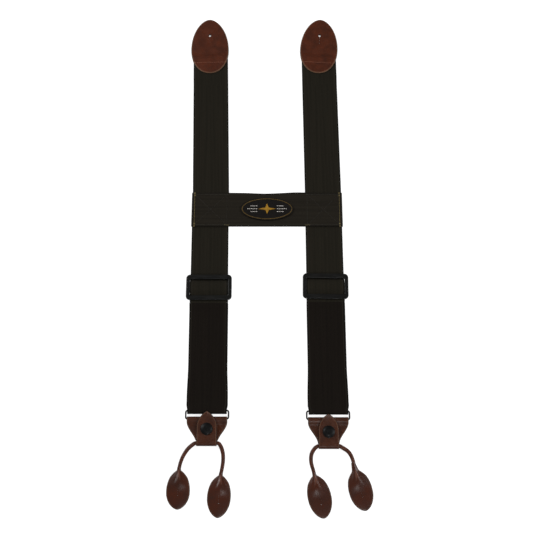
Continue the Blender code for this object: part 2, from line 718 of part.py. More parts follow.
def make_button_tab(side, which, tab, cord_body):
    """A teardrop of two leather plies with a buttonhole, hinged at its neck."""
    lean = math.radians(tab.lean)
    neck = (cord_body.at.x + tab.neck[0], side.snap_y + tab.neck[1], CORD_D)
    body = Body(f"{side.name}_{which}_tab", cord_body, neck, lean)
    place = Matrix.Translation((neck[0], neck[1], 0.0)) @ Matrix.Rotation(lean, 4, "Z")
    widest = tab.widest * tab.length

    def outline(_, y):
        half = leaf_half_width(-y, tab.length, TAB_WIDTH, widest, 0.5, 0.6)
        return max(half, 0.0008 if -y > widest else 0.0026)

    stations = [-GAP / 2 - s for s in leaf_stations(tab.length - GAP / 2, 24)]
    hole = (0.0, -tab.length + TAB_HOLE_FROM_TIP)
    for ply, height in (("back", LEATHER_T / 2), ("face", LEATHER_T * 1.5 + GAP)):
        name = f"{side.name}_{which}_tab_{ply}"
        bm = strip([(y, height) for y in stations], outline, LEATHER_T)
        bm.transform(place)
        obj = add(name, mesh_of(name, bm), body, "tab_leather")
        keyhole = prism(keyhole_outline(hole, (0, 1), TAB_HOLE_D), -0.001, 0.005)
        keyhole.transform(place)
        cut(obj, keyhole, body, f"{name}_cutter")


# ---- assembly -----------------------------------------------------------------------------
def make_side(side, root):
    """Everything on one strap."""
    make_rear_tab(side, make_rear_strap(side, root))
    glide, loop = make_front_strap(side, root)
    make_adjuster(side, glide)
    ring, bar_y = make_ring(side, loop)
    yoke = make_yoke(side, ring, bar_y)
    make_flap(side, yoke)
    cord_body = make_cord(side, yoke)
    names = ("outer", "inner") if side is LEFT else ("inner", "outer")
    for which, tab in zip(names, side.tabs):
        make_button_tab(side, which, tab, cord_body)


def centre_on_origin(root):
    """Shift the root empty so that the object's box is centred on X = Y = 0."""
    bpy.context.view_layer.update()
    graph = bpy.context.evaluated_depsgraph_get()
    low, high = Vector((1e9, 1e9)), Vector((-1e9, -1e9))
    for obj in bpy.data.objects:
        if obj.type == "EMPTY" or obj.hide_render:
            continue
        shape = obj.evaluated_get(graph)
        mesh = shape.to_mesh()
        for vertex in mesh.vertices:
            place = obj.matrix_world @ vertex.co
            low = Vector(map(min, low, place.xy))
            high = Vector(map(max, high, place.xy))
        shape.to_mesh_clear()
    middle = (low + high) / 2
    root.empty.location = (-middle.x, -middle.y, 0.0)
    bpy.context.view_layer.update()


def main():
    """Build the suspenders in an empty scene."""
    for obj in list(bpy.data.objects):
        bpy.data.objects.remove(obj, do_unlink=True)
    root = Body("root_body")
    make_cross_band(root)
    for side in (LEFT, RIGHT):
        make_side(side, root)
    centre_on_origin(root)


main()
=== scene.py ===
"""Visual model of a pair of H-back, button-on suspenders, laid flat with the front ends toward -Y.

Each sub-assembly is a class. Its sizes are dataclass fields, and its methods build its pieces
and dress them. Shapes are worked out in layout coordinates, which are metres from the middle of
the cross band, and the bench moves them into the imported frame.
"""

from __future__ import annotations

import logging
import math
from dataclasses import dataclass, field
from enum import Enum
from typing import Any, Callable, Sequence

import bpy
import numpy as np
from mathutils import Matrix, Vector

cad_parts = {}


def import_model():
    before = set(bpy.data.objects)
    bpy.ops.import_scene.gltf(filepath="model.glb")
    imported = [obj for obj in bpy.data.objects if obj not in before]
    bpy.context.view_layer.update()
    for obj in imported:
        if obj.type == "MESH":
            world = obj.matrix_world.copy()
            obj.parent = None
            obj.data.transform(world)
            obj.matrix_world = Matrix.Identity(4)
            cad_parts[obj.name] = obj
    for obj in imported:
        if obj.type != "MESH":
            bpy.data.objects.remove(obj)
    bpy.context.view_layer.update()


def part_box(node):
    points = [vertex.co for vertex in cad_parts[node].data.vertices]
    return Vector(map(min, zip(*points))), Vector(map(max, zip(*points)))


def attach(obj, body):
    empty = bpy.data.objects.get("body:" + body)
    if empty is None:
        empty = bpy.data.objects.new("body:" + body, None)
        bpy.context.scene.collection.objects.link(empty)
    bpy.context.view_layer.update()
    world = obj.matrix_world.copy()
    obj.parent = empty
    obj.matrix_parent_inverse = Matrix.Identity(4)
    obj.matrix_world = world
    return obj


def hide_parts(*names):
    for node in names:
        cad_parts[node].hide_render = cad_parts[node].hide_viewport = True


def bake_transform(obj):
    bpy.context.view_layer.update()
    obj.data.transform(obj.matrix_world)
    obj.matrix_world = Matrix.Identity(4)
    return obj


LOG = logging.getLogger("suspenders")

WEBBING_WIDTH, WEBBING_T = 0.050, 0.0014
HALF_WEB = WEBBING_WIDTH / 2
LEATHER_T = 0.0015
GAP = 0.0003
LAYER = WEBBING_T + GAP
RING_Z = 0.0029                      # height of the wire ring's middle
WRAP = 0.00145                       # inner radius of what wraps round the ring
PLY_Z = 0.00255                      # middle of a leather ply that lies on another
GLIDE_TOP = 0.0223                   # the adjuster's webbing starts this far behind its middle
GLIDE_FOOT = 0.0209                  # and ends this far in front of it
BAR_Z, BAR_TOP = 0.0029, 0.0041      # middle and top of the adjuster's bar
FLAT = WEBBING_T / 2                 # height of the middle of webbing that lies on the floor
MM = 1000.0

Points = np.ndarray
Socket = bpy.types.NodeSocket
Tree = bpy.types.NodeTree


# ---- node helpers ---------------------------------------------------------------------------
def linear(code: str) -> tuple[float, float, float, float]:
    """Turn an sRGB hex colour to linear RGBA.

    Args:
        code: Six hex digits.

    Returns:
        The colour with alpha 1.
    """
    shares = [int(code[i:i + 2], 16) / 255 for i in (0, 2, 4)]
    return (*[c / 12.92 if c <= 0.04045 else ((c + 0.055) / 1.055) ** 2.4 for c in shares], 1.0)


def add_node(
    tree: Tree, kind: str, inputs: dict[Any, Any] | None = None, **settings: Any
) -> bpy.types.Node:
    """Add a node with its settings, values and links.

    Args:
        tree: Where it goes.
        kind: Its type's identifier.
        inputs: Values or sockets, by the input's name or number.
        settings: The node's own properties.

    Returns:
        The new node.
    """
    node = tree.nodes.new(kind)
    for name, value in settings.items():
        setattr(node, name, value)
    for key, value in (inputs or {}).items():
        if isinstance(value, Socket):
            tree.links.new(value, node.inputs[key])
        else:
            node.inputs[key].default_value = value
    return node


def wave(tree: Tree, along: Socket, pitch: float, start: Socket | float = 0.0) -> Socket:
    """A sine from 0 to 1 along a coordinate in millimetres.

    Args:
        tree: Where it goes.
        along: The coordinate.
        pitch: Length of one period in millimetres.
        start: Phase in radians.

    Returns:
        The wave's socket.
    """
    phase = add_node(tree, "ShaderNodeMath", {0: along, 1: math.tau / pitch, 2: start},
                     operation="MULTIPLY_ADD")
    sine = add_node(tree, "ShaderNodeMath", {0: phase.outputs[0]}, operation="SINE")
    return add_node(tree, "ShaderNodeMath", {0: sine.outputs[0], 1: 0.5, 2: 0.5},
                    operation="MULTIPLY_ADD").outputs[0]


def noise(tree: Tree, place: Socket, scale: Sequence[float], detail: float = 3.0) -> Socket:
    """Noise from 0 to 1 over a place in millimetres, with a grain of its own along each axis.

    Args:
        tree: Where it goes.
        place: The coordinates.
        scale: Features per millimetre along X, Y and Z.
        detail: Octaves.

    Returns:
        The noise's socket.
    """
    mapped = add_node(tree, "ShaderNodeMapping", {"Vector": place, "Scale": tuple(scale)})
    return add_node(tree, "ShaderNodeTexNoise", {
        "Vector": mapped.outputs[0], "Scale": 1.0, "Detail": detail, "Roughness": 0.55,
    }).outputs["Fac"]


def ramp(tree: Tree, value: Socket, low: float, high: float, out: tuple = (0.0, 1.0)) -> Socket:
    """Map a value from low..high to out, smoothly and clamped."""
    return add_node(tree, "ShaderNodeMapRange", {
        "Value": value, "From Min": low, "From Max": high, "To Min": out[0], "To Max": out[1],
    }, interpolation_type="SMOOTHSTEP").outputs[0]


def blend_colours(tree: Tree, share: Socket | float, first: Any, second: Any) -> Socket:
    """Mix two colours, each an RGBA value or a socket."""
    return add_node(tree, "ShaderNodeMix", {0: share, 6: first, 7: second},
                    data_type="RGBA").outputs[2]


def product(tree: Tree, first: Socket, second: Socket | float) -> Socket:
    """Multiply two numbers."""
    return add_node(tree, "ShaderNodeMath", {0: first, 1: second}, operation="MULTIPLY").outputs[0]


def total(tree: Tree, first: Socket, second: Socket | float) -> Socket:
    """Add two numbers."""
    return add_node(tree, "ShaderNodeMath", {0: first, 1: second}, operation="ADD").outputs[0]


# ---- finishes -------------------------------------------------------------------------------
class Slot(Enum):
    """The material slots that the finishes name."""

    WEBBING = "webbing"
    BAND = "band_webbing"
    RUBBER = "rubber"
    PRINT = "rubber_print"
    LEATHER = "leather"
    TAB_LEATHER = "tab_leather"
    PLASTIC = "plastic"
    WIRE = "black_wire"
    SNAP_PAINT = "snap_paint"
    BRASS = "snap_brass"


@dataclass(frozen=True)
class Finish:
    """A material: what it is made of, and how its surface takes the light."""

    name: str
    slot: Slot
    tone: str
    deep: str
    roughness: float = 0.5

    def material(self) -> bpy.types.Material:
        """The Blender material, made once."""
        made = bpy.data.materials.get(self.name)
        if made is None:
            made = bpy.data.materials.new(self.name)
            made.use_nodes = True
            tree = made.node_tree
            shader = tree.nodes["Principled BSDF"]
            shader.inputs["Roughness"].default_value = self.roughness
            self.dress(tree, shader)
        return made

    def dress(self, tree: Tree, shader: bpy.types.Node) -> None:
        """Add the finish's own nodes."""
        raise NotImplementedError

    @staticmethod
    def cut_place(tree: Tree) -> tuple[Socket, Socket, Socket]:
        """The place on the flat cut in millimetres: as a vector, across and along."""
        uv = add_node(tree, "ShaderNodeUVMap", uv_map="cut")
        place = add_node(tree, "ShaderNodeVectorMath", {0: uv.outputs[0], 1: (MM, MM, MM)},
                         operation="MULTIPLY").outputs[0]
        split = add_node(tree, "ShaderNodeSeparateXYZ", {0: place})
        return place, split.outputs[0], split.outputs[1]

    @staticmethod
    def object_place(tree: Tree) -> Socket:
        """The place in the object in millimetres."""
        place = add_node(tree, "ShaderNodeTexCoord").outputs["Object"]
        return add_node(tree, "ShaderNodeVectorMath", {0: place, 1: (MM, MM, MM)},
                        operation="MULTIPLY").outputs[0]

    @staticmethod
    def number(tree: Tree, name: str) -> Socket:
        """A number kept on the mesh's points."""
        return add_node(tree, "ShaderNodeAttribute", attribute_name=name).outputs["Fac"]

    def two_tones(self, tree: Tree, shader: bpy.types.Node, share: Socket) -> None:
        """Colour the shader from the deep tone to the pale one."""
        tree.links.new(blend_colours(tree, share, linear(self.deep), linear(self.tone)),
                       shader.inputs["Base Color"])

    @staticmethod
    def emboss(tree: Tree, shader: bpy.types.Node, height: Socket, depth: float,
               strength: float = 1.0) -> None:
        """Bump the shader's normal by a height of that depth in metres."""
        bump = add_node(tree, "ShaderNodeBump", {
            "Height": height, "Distance": depth, "Strength": strength,
        })
        tree.links.new(bump.outputs[0], shader.inputs["Normal"])


@dataclass(frozen=True)
class WovenElastic(Finish):
    """Woven polyester over rubber cords: matt, faintly striped along its length, with fuzz."""

    weft_pitch: float = 1.25     # mm between crosswise ribs, as coarse as they need to show
    warp_pitch: float = 1.6      # mm between lengthwise cords
    stripe: float = 0.40         # how much the two tones differ

    def dress(self, tree: Tree, shader: bpy.types.Node) -> None:
        """Ribs, lengthwise stripes, woven edges and lint."""
        place, across, along = self.cut_place(tree)
        edge = self.number(tree, "edge_mm")
        shader.inputs["Sheen Weight"].default_value = 0.02
        shader.inputs["Sheen Roughness"].default_value = 0.5
        shader.inputs["Sheen Tint"].default_value = linear("b9b3a4")
        shader.inputs["Specular IOR Level"].default_value = 0.08

        streaks = noise(tree, place, (0.42, 0.006, 1.0), 4.0)
        fine = noise(tree, place, (2.6, 0.9, 1.0), 2.0)
        band = ramp(tree, total(tree, streaks, product(tree, fine, 0.35)), 0.50, 0.82)
        body = blend_colours(tree, product(tree, band, self.stripe), linear(self.deep),
                             linear(self.tone))
        # The woven edge is denser and darker, and a paler line parts it from the middle.
        selvedge = ramp(tree, edge, 2.9, 2.2)
        line = product(tree, ramp(tree, edge, 2.1, 2.7), ramp(tree, edge, 3.5, 2.9))
        body = blend_colours(tree, product(tree, selvedge, 0.45), body, linear("0b0a08"))
        body = blend_colours(tree, product(tree, line, 0.30), body, linear("312e26"))
        tree.links.new(body, shader.inputs["Base Color"])

        ribs = wave(tree, along, self.weft_pitch, product(tree, wave(tree, across, 2 * 1.6), 1.6))
        cords = wave(tree, across, self.warp_pitch)
        height = total(tree, product(tree, ribs, 0.55), product(tree, cords, 0.45))
        self.emboss(tree, shader, total(tree, height, product(tree, fine, 0.6)), 0.00022, 0.75)
        rough = ramp(tree, fine, 0.2, 0.8, (self.roughness - 0.06, self.roughness + 0.06))
        tree.links.new(rough, shader.inputs["Roughness"])


@dataclass(frozen=True)
class Hide(Finish):
    """Waxed top-grain leather: mottled, glossy on the high spots, burnished dark at its edges."""

    raw: str = "8a6a52"          # the undyed cut
    mottle_mm: float = 9.0
    gloss: float = 0.35
    specular: float = 0.13
    rim: float = 0.3             # how pale the bevel inside the burnished edge is: its undyed cut and a painted highlight
    grain_depth: float = 0.00028
    coat_roughness: float = 0.28

    def dress(self, tree: Tree, shader: bpy.types.Node) -> None:
        """Mottle, grain, dark edges that also paint shade on the yoke's fold, painted highlights on
        the bevel and ridges, and a waxed coat.
        """
        place = self.object_place(tree)
        edge = self.number(tree, "edge_mm")
        raw, ridge_highlight = self.number(tree, "raw_edge"), self.number(tree, "ridge_highlight")
        shader.inputs["Coat Weight"].default_value = self.gloss
        shader.inputs["Coat Roughness"].default_value = self.coat_roughness
        shader.inputs["Specular IOR Level"].default_value = self.specular

        cloud = noise(tree, place, (1 / self.mottle_mm,) * 3, 5.0)
        fleck = noise(tree, place, (0.85, 0.85, 0.85), 3.0)
        mix = ramp(tree, total(tree, product(tree, cloud, 0.62), product(tree, fleck, 0.40)),
                   0.30, 0.72)
        body = blend_colours(tree, mix, linear(self.deep), linear(self.tone))
        # Undyed cut with a painted highlight: a pale strip on the bevel just inside the dark edge.
        bevel = product(tree, ramp(tree, edge, 0.3, 0.8), ramp(tree, edge, 1.7, 1.1))
        body = blend_colours(tree, product(tree, bevel, self.rim), body, linear(self.raw))
        # Painted highlight: a paler brown along the ridges that the tabs mark.
        body = blend_colours(tree, product(tree, ridge_highlight, 0.35), body, linear("7c5242"))
        # Burnished dark edges; the same dark also paints shade over the yoke's fold.
        edge_dark_and_fold_shade = product(tree, ramp(tree, edge, 0.7, 0.1), 0.85)
        body = blend_colours(tree, edge_dark_and_fold_shade, body, linear("160b07"))
        body = blend_colours(tree, product(tree, raw, 0.55), body, linear(self.raw))
        tree.links.new(body, shader.inputs["Base Color"])

        grain = add_node(tree, "ShaderNodeTexVoronoi", {"Vector": place, "Scale": 1.15},
                         feature="DISTANCE_TO_EDGE").outputs[0]
        grain = ramp(tree, grain, 0.0, 0.22)
        height = total(tree, product(tree, grain, 0.5), product(tree, fleck, 0.9))
        height = total(tree, height, product(tree, cloud, 1.2))
        self.emboss(tree, shader, height, self.grain_depth, 0.8)
        rough = ramp(tree, mix, 0.0, 1.0, (self.roughness + 0.10, self.roughness - 0.04))
        tree.links.new(rough, shader.inputs["Roughness"])


@dataclass(frozen=True)
class MouldedRubber(Finish):
    """Moulded soft rubber, finely speckled by the mould's grain."""

    def dress(self, tree: Tree, shader: bpy.types.Node) -> None:
        """Speckle and grain."""
        shader.inputs["Specular IOR Level"].default_value = 0.12
        place = self.object_place(tree)
        speck = noise(tree, place, (1.5, 1.5, 1.5), 4.0)
        cloud = noise(tree, place, (0.12, 0.12, 0.12), 2.0)
        share = ramp(tree, total(tree, speck, product(tree, cloud, 0.25)), 0.48, 0.78)
        self.two_tones(tree, shader, share)
        self.emboss(tree, shader, speck, 0.00020, 0.8)


@dataclass(frozen=True)
class MouldedNylon(Finish):
    """Injection-moulded black nylon: satin, with a fine spark grain and rubbed edges."""

    def dress(self, tree: Tree, shader: bpy.types.Node) -> None:
        """Spark grain and small scuffs."""
        shader.inputs["Specular IOR Level"].default_value = 0.22
        place = self.object_place(tree)
        spark = noise(tree, place, (3.2, 3.2, 3.2), 2.0)
        scuff = noise(tree, place, (0.10, 0.55, 0.3), 4.0)
        share = ramp(tree, scuff, 0.52, 0.80)
        self.two_tones(tree, shader, share)
        self.emboss(tree, shader, spark, 0.00006, 0.6)
        tree.links.new(ramp(tree, scuff, 0.3, 0.8, (self.roughness - 0.05, self.roughness + 0.14)),
                       shader.inputs["Roughness"])


@dataclass(frozen=True)
class CoatedMetal(Finish):
    """Metal under a thin black coat, or bare: drawn or stamped, with fine handling marks."""

    metallic: float = 1.0
    mark_mm: float = 2.5
    coat: float = 0.1
    specular: float = 0.5

    def dress(self, tree: Tree, shader: bpy.types.Node) -> None:
        """Handling marks in colour and gloss."""
        shader.inputs["Metallic"].default_value = self.metallic
        shader.inputs["Coat Weight"].default_value = self.coat
        shader.inputs["Coat Roughness"].default_value = 0.15
        shader.inputs["Specular IOR Level"].default_value = self.specular
        place = self.object_place(tree)
        mark = noise(tree, place, (1 / self.mark_mm,) * 3, 5.0)
        share = ramp(tree, mark, 0.42, 0.72)
        self.two_tones(tree, shader, share)
        tree.links.new(ramp(tree, mark, 0.3, 0.75, (self.roughness - 0.06, self.roughness + 0.10)),
                       shader.inputs["Roughness"])
        self.emboss(tree, shader, mark, 0.00005, 0.5)


@dataclass(frozen=True)
class SpunThread(Finish):
    """Twisted polyester sewing thread: painted shade darkens the grooves of each turn every half
    millimetre.
    """

    def dress(self, tree: Tree, shader: bpy.types.Node) -> None:
        """Twist relief with painted shade in its grooves, and uneven dye."""
        place = self.object_place(tree)
        split = add_node(tree, "ShaderNodeSeparateXYZ", {0: place})
        twist_and_groove_shade = wave(tree, total(tree, split.outputs[0], split.outputs[1]), 0.55)
        dye = noise(tree, place, (0.6, 0.6, 0.6), 2.0)
        # Painted shade: darker in the grooves of each turn, paler on its ridges.
        share = ramp(tree, total(tree, product(tree, twist_and_groove_shade, 0.6), product(tree, dye, 0.6)),
                     0.25, 0.85)
        self.two_tones(tree, shader, share)
        self.emboss(tree, shader, twist_and_groove_shade, 0.00008, 0.7)


STRAP_ELASTIC = WovenElastic("woven_elastic_strap", Slot.WEBBING, "231f18", "15130d", 0.86)
LOOP_ELASTIC = WovenElastic("woven_elastic_loop", Slot.WEBBING, "16110c", "0d0906", 0.86)
BAND_ELASTIC = WovenElastic("woven_elastic_band", Slot.BAND, "25211a", "181510", 0.88)
EGG_HIDE = Hide("waxed_brown_hide", Slot.LEATHER, "4c1e07", "331202", 0.46, mottle_mm=12.0,
                gloss=0.08)
YOKE_HIDE = Hide("waxed_brown_hide_yoke", Slot.LEATHER, "3e1a04", "2a0f02", 0.42, mottle_mm=11.0,
                 gloss=0.12, rim=0.18)
TAB_HIDE = Hide("dark_waxed_hide", Slot.TAB_LEATHER, "3a1503", "290d01", 0.30, mottle_mm=14.0,
                gloss=0.36, specular=0.12, rim=0.12, grain_depth=0.00003, coat_roughness=0.26)
CORD_HIDE = Hide("rolled_hide_cord", Slot.TAB_LEATHER, "4a220e", "301306", 0.44, mottle_mm=6.0,
                 gloss=0.12)
PATCH_RUBBER = MouldedRubber("moulded_rubber", Slot.RUBBER, "0e0a08", "060403", 0.62)
PATCH_RELIEF = MouldedRubber("moulded_rubber_relief", Slot.PRINT, "574524", "33280f", 0.58)
PATCH_GOLD = MouldedRubber("gold_print", Slot.PRINT, "9a7424", "6a4c16", 0.50)
PATCH_WHITE = MouldedRubber("white_print", Slot.PRINT, "d6d2cb", "a49f98", 0.50)
GLIDE_NYLON = MouldedNylon("moulded_nylon", Slot.PLASTIC, "100f0d", "060605", 0.34)
RING_WIRE = CoatedMetal("black_coated_wire", Slot.WIRE, "19191b", "080809", 0.36, 0.5)
CAP_PAINT = CoatedMetal("black_baked_cap", Slot.SNAP_PAINT, "070707", "030303", 0.46, 0.0, 1.6,
                        0.03, 0.12)
SNAP_BRASS = CoatedMetal("stamped_brass", Slot.BRASS, "b8944f", "80602c", 0.30, 1.0, 1.2, 0.0)
DARK_THREAD = SpunThread("dark_thread", Slot.WEBBING, "26231b", "14110c", 0.80)
OLIVE_THREAD = SpunThread("olive_thread", Slot.BAND, "74653a", "4b4023", 0.70)
PALE_THREAD = SpunThread("pale_thread", Slot.LEATHER, "965f49", "603826", 0.70)


# ---- paths and outlines ---------------------------------------------------------------------
def ease(start: Sequence[float], stop: Sequence[float], steps: int = 24) -> list[tuple]:
    """(Y, Z) points that leave start level and reach stop level."""
    (y0, z0), (y1, z1) = start, stop
    shares = [i / steps for i in range(steps + 1)]
    return [(y0 + (y1 - y0) * u, z0 + (z1 - z0) * (3 - 2 * u) * u * u) for u in shares]


def arc(centre: Sequence[float], radius: float, start: float, stop: float,
        steps: int = 40) -> list[tuple]:
    """(Y, Z) points on a circle, with angles in degrees from +Y toward +Z."""
    angles = [math.radians(start + (stop - start) * i / steps) for i in range(steps + 1)]
    return [(centre[0] + radius * math.cos(a), centre[1] + radius * math.sin(a)) for a in angles]


def leaf(along: Points, length: float, width: float, widest: float, base_power: float,
         tip_power: float) -> Points:
    """Half widths of an egg or teardrop outline.

    Args:
        along: Distances from its base.
        length: Base to tip.
        width: Full width.
        widest: Distance from the base to the widest place.
        base_power: Bluntness below it.
        tip_power: Bluntness above it.

    Returns:
        A half width for each distance.
    """
    below = np.clip((widest - along) / widest, 0, 1)
    above = np.clip((along - widest) / (length - widest), 0, 1)
    low = np.maximum(1 - below ** 2, 0) ** base_power
    high = np.maximum(1 - above ** 2, 0) ** tip_power
    return width / 2 * np.where(along < widest, low, high)


def distances(path: Points) -> Points:
    """How far each point of a path is along it."""
    return np.concatenate([[0], np.cumsum(np.linalg.norm(np.diff(path, axis=0), axis=1))])


def crowded(start: float, stop: float, rows: int) -> Points:
    """Distances from start to stop, closer together at both ends."""
    return start + (stop - start) * (1 - np.cos(np.linspace(0, math.pi, rows))) / 2


def rounded_box(length: float, width: float, corner: float, steps: int = 8) -> Points:
    """(X, Y) points of a rectangle with round corners, counter-clockwise."""
    points = []
    for quarter in range(4):
        side_x = 1 if quarter in (0, 3) else -1
        side_y = 1 if quarter < 2 else -1
        for i in range(steps + 1):
            a = quarter * math.pi / 2 + math.pi / 2 * i / steps
            points.append((side_x * (length / 2 - corner) + corner * math.cos(a),
                           side_y * (width / 2 - corner) + corner * math.sin(a)))
    return np.array(points)


def smooth_route(points: Points, spacing: float) -> Points:
    """Points about that far apart on a smooth curve through the given ones."""
    route = []
    padded = [2 * points[0] - points[1], *points, 2 * points[-1] - points[-2]]
    for a, b, c, d in zip(padded, padded[1:], padded[2:], padded[3:]):
        steps = max(1, round(float(np.linalg.norm(c - b)) / spacing))
        for i in range(steps):
            t = i / steps
            route.append(0.5 * (2 * b + (c - a) * t + (2 * a - 5 * b + 4 * c - d) * t ** 2
                                + (3 * b - a - 3 * c + d) * t ** 3))
    return np.array([*route, points[-1]])


def turn_about(points: Points, centre: Sequence[float], degrees: float) -> Points:
    """Turn points about a vertical line through centre."""
    a = math.radians(degrees)
    moved = points - np.array([centre[0], centre[1], 0.0])
    x = moved[:, 0] * math.cos(a) - moved[:, 1] * math.sin(a) + centre[0]
    y = moved[:, 0] * math.sin(a) + moved[:, 1] * math.cos(a) + centre[1]
    return np.column_stack([x, y, points[:, 2]])


def distance_to_lines(x: Points, y: Points, lines: Sequence[Sequence[Sequence[float]]]) -> Points:
    """Least distance from each (x, y) to any of the polylines."""
    best = np.full(x.shape, 1.0)
    for line in lines:
        for (ax, ay), (bx, by) in zip(line, line[1:]):
            dx, dy = bx - ax, by - ay
            t = np.clip(((x - ax) * dx + (y - ay) * dy) / max(dx * dx + dy * dy, 1e-12), 0, 1)
            best = np.minimum(best, np.hypot(x - ax - t * dx, y - ay - t * dy))
    return best


def dent(x: Points, y: Points, lines: Sequence[Sequence[Sequence[float]]], depth: float,
         width: float) -> Points:
    """How far a seam along the lines pulls a surface in, with that depth and width."""
    return -depth * np.exp(-(distance_to_lines(x, y, lines) / width) ** 2)


# ---- shapes ---------------------------------------------------------------------------------
@dataclass
class Shape:
    """A mesh before it is placed: points, faces, flat-cut coordinates and numbers per point."""

    points: Points
    faces: list
    cut: Points | None = None
    numbers: dict[str, Points] = field(default_factory=dict)

    def __post_init__(self) -> None:
        """Turn the faces' point numbers to plain whole numbers."""
        self.faces = [tuple(int(i) for i in face) for face in self.faces]

    def moved(self, change: Callable[[Points], Points]) -> "Shape":
        """The same shape with its points changed."""
        return Shape(change(self.points), self.faces, self.cut, self.numbers)


def grid_faces(first: Points, second: Points) -> list:
    """Quads between two rows of point numbers."""
    return [(first[j], first[j + 1], second[j + 1], second[j]) for j in range(len(first) - 1)]


@dataclass
class Sheet:
    """A flat cut of webbing or leather, bent along its length.

    Its outer face is on the left of the path's direction in the Y-Z plane.
    """

    path: Sequence[tuple]                      # (Y, Z) of the middle of its thickness
    half: Callable[[Points, Points], Points]   # half width from distance along and Y
    thickness: float
    middle: Callable[[Points, Points], Points]   # X of its middle line from Y and share of length
    step: float = 0.0015
    columns: int = 24
    rounding: float = 0.45                     # of the thickness
    round_ends: tuple[bool, bool] = (False, False)
    leaf_rows: int = 0
    across: bool = False                       # the weave runs across the path
    relief: Callable[[Points, Points, Points, Points], tuple] | None = None

    def build(self) -> Shape:
        """The closed sheet."""
        path = np.array(self.path, float)
        keep = np.concatenate([[True], np.linalg.norm(np.diff(path, axis=0), axis=1) > 1e-7])
        path = path[keep]
        along = distances(path)
        length = along[-1]
        s = self.rows(length, along, path)
        y, z = np.interp(s, along, path[:, 0]), np.interp(s, along, path[:, 1])
        reach = 0.0004
        ahead, behind = np.minimum(s + reach, length), np.maximum(s - reach, 0)
        ty = np.interp(ahead, along, path[:, 0]) - np.interp(behind, along, path[:, 0])
        tz = np.interp(ahead, along, path[:, 1]) - np.interp(behind, along, path[:, 1])
        size = np.hypot(ty, tz)
        ny, nz = -tz / size, ty / size

        half = np.maximum(self.half(s, y), 0.00008)
        rim = np.minimum(0.0010, 0.35 * half)
        ladder = np.array([0, 0.08, 0.22, 0.42, 0.68, 1.0])
        inner = np.linspace(-1, 1, self.columns)[1:-1]
        x = np.concatenate([
            -half[:, None] + rim[:, None] * ladder,
            inner[None, :] * (half - rim)[:, None],
            (half[:, None] - rim[:, None] * ladder)[:, ::-1],
        ], axis=1)
        grid_s = np.repeat(s[:, None], x.shape[1], axis=1)
        edge = self.edge_distance(x, grid_s, s, length)

        radius = self.rounding * self.thickness
        inside = np.clip(edge, 0, radius)
        height = self.thickness / 2 - radius + np.sqrt(radius ** 2 - (radius - inside) ** 2)
        top, bottom = height, -height
        place_x = x + self.middle(y, s / length)[:, None]
        if self.relief:
            rise, sink = self.relief(place_x, np.repeat(y[:, None], x.shape[1], axis=1), grid_s,
                                     edge)
            top, bottom = top + rise, bottom + sink

        rows, columns = x.shape
        points = np.concatenate([
            np.stack([place_x, y[:, None] + ny[:, None] * h, z[:, None] + nz[:, None] * h],
                     axis=2).reshape(-1, 3)
            for h in (top, bottom)
        ])
        upper = np.arange(rows * columns).reshape(rows, columns)
        lower = upper + rows * columns
        faces = []
        for i in range(rows - 1):
            faces += grid_faces(upper[i], upper[i + 1])
            faces += grid_faces(lower[i][::-1], lower[i + 1][::-1])
        faces += grid_faces(lower[:, -1], upper[:, -1])
        faces += grid_faces(upper[:, 0], lower[:, 0])
        faces += grid_faces(lower[0], upper[0])
        faces += grid_faces(upper[-1], lower[-1])
        cut = np.stack([grid_s, x] if self.across else [x, grid_s], axis=2).reshape(-1, 2)
        mm = edge.reshape(-1) * MM
        return Shape(points, faces, np.vstack([cut, cut]),
                     {"edge_mm": np.concatenate([mm, mm])})

    def rows(self, length: float, along: Points, path: Points) -> Points:
        """Distances of the rows, with more where the path bends and at round ends."""
        if self.leaf_rows:
            return crowded(0, length, self.leaf_rows)
        even = np.linspace(0, length, max(2, round(length / self.step) + 1))
        heading = np.unwrap(np.arctan2(np.gradient(path[:, 1]), np.gradient(path[:, 0])))
        bend = np.concatenate([[0], np.cumsum(np.abs(np.diff(heading)))])
        spare = np.linspace(0, bend[-1], int(bend[-1] / 0.12) + 1)
        extra = np.interp(spare, bend + along * 1e-6, along)
        ends = np.array([0.0001, 0.0003, 0.0006])
        parts = [even, extra]
        parts += [ends] if self.round_ends[0] else []
        parts += [length - ends] if self.round_ends[1] else []
        rows = np.unique(np.concatenate(parts))
        kept = [rows[0]]
        for value in rows[1:]:
            if value - kept[-1] > 0.00009:
                kept.append(value)
        kept[-1] = length
        return np.array(kept)

    def edge_distance(self, x: Points, grid_s: Points, s: Points, length: float) -> Points:
        """Distance of each point from the cut's outline, on the flat."""
        fine = np.unique(np.concatenate([s, crowded(s[0], s[-1], 300)]))
        path = np.array(self.path, float)
        along = distances(path)
        half = np.maximum(self.half(fine, np.interp(fine, along, path[:, 0])), 0)
        if np.ptp(half) < 1e-5:
            edge = half[0] - np.abs(x)
        else:
            edge = np.full(x.shape, 1.0)
            px, py = np.abs(x), grid_s
            for i in range(len(fine) - 1):
                ax, ay, bx, by = half[i], fine[i], half[i + 1], fine[i + 1]
                dx, dy = bx - ax, by - ay
                t = np.clip(((px - ax) * dx + (py - ay) * dy) / (dx * dx + dy * dy), 0, 1)
                edge = np.minimum(edge, np.hypot(px - ax - t * dx, py - ay - t * dy))
            edge[:, 0] = edge[:, -1] = 0
        if self.round_ends[0]:
            edge = np.minimum(edge, grid_s)
        if self.round_ends[1]:
            edge = np.minimum(edge, length - grid_s)
        return np.maximum(edge, 0)


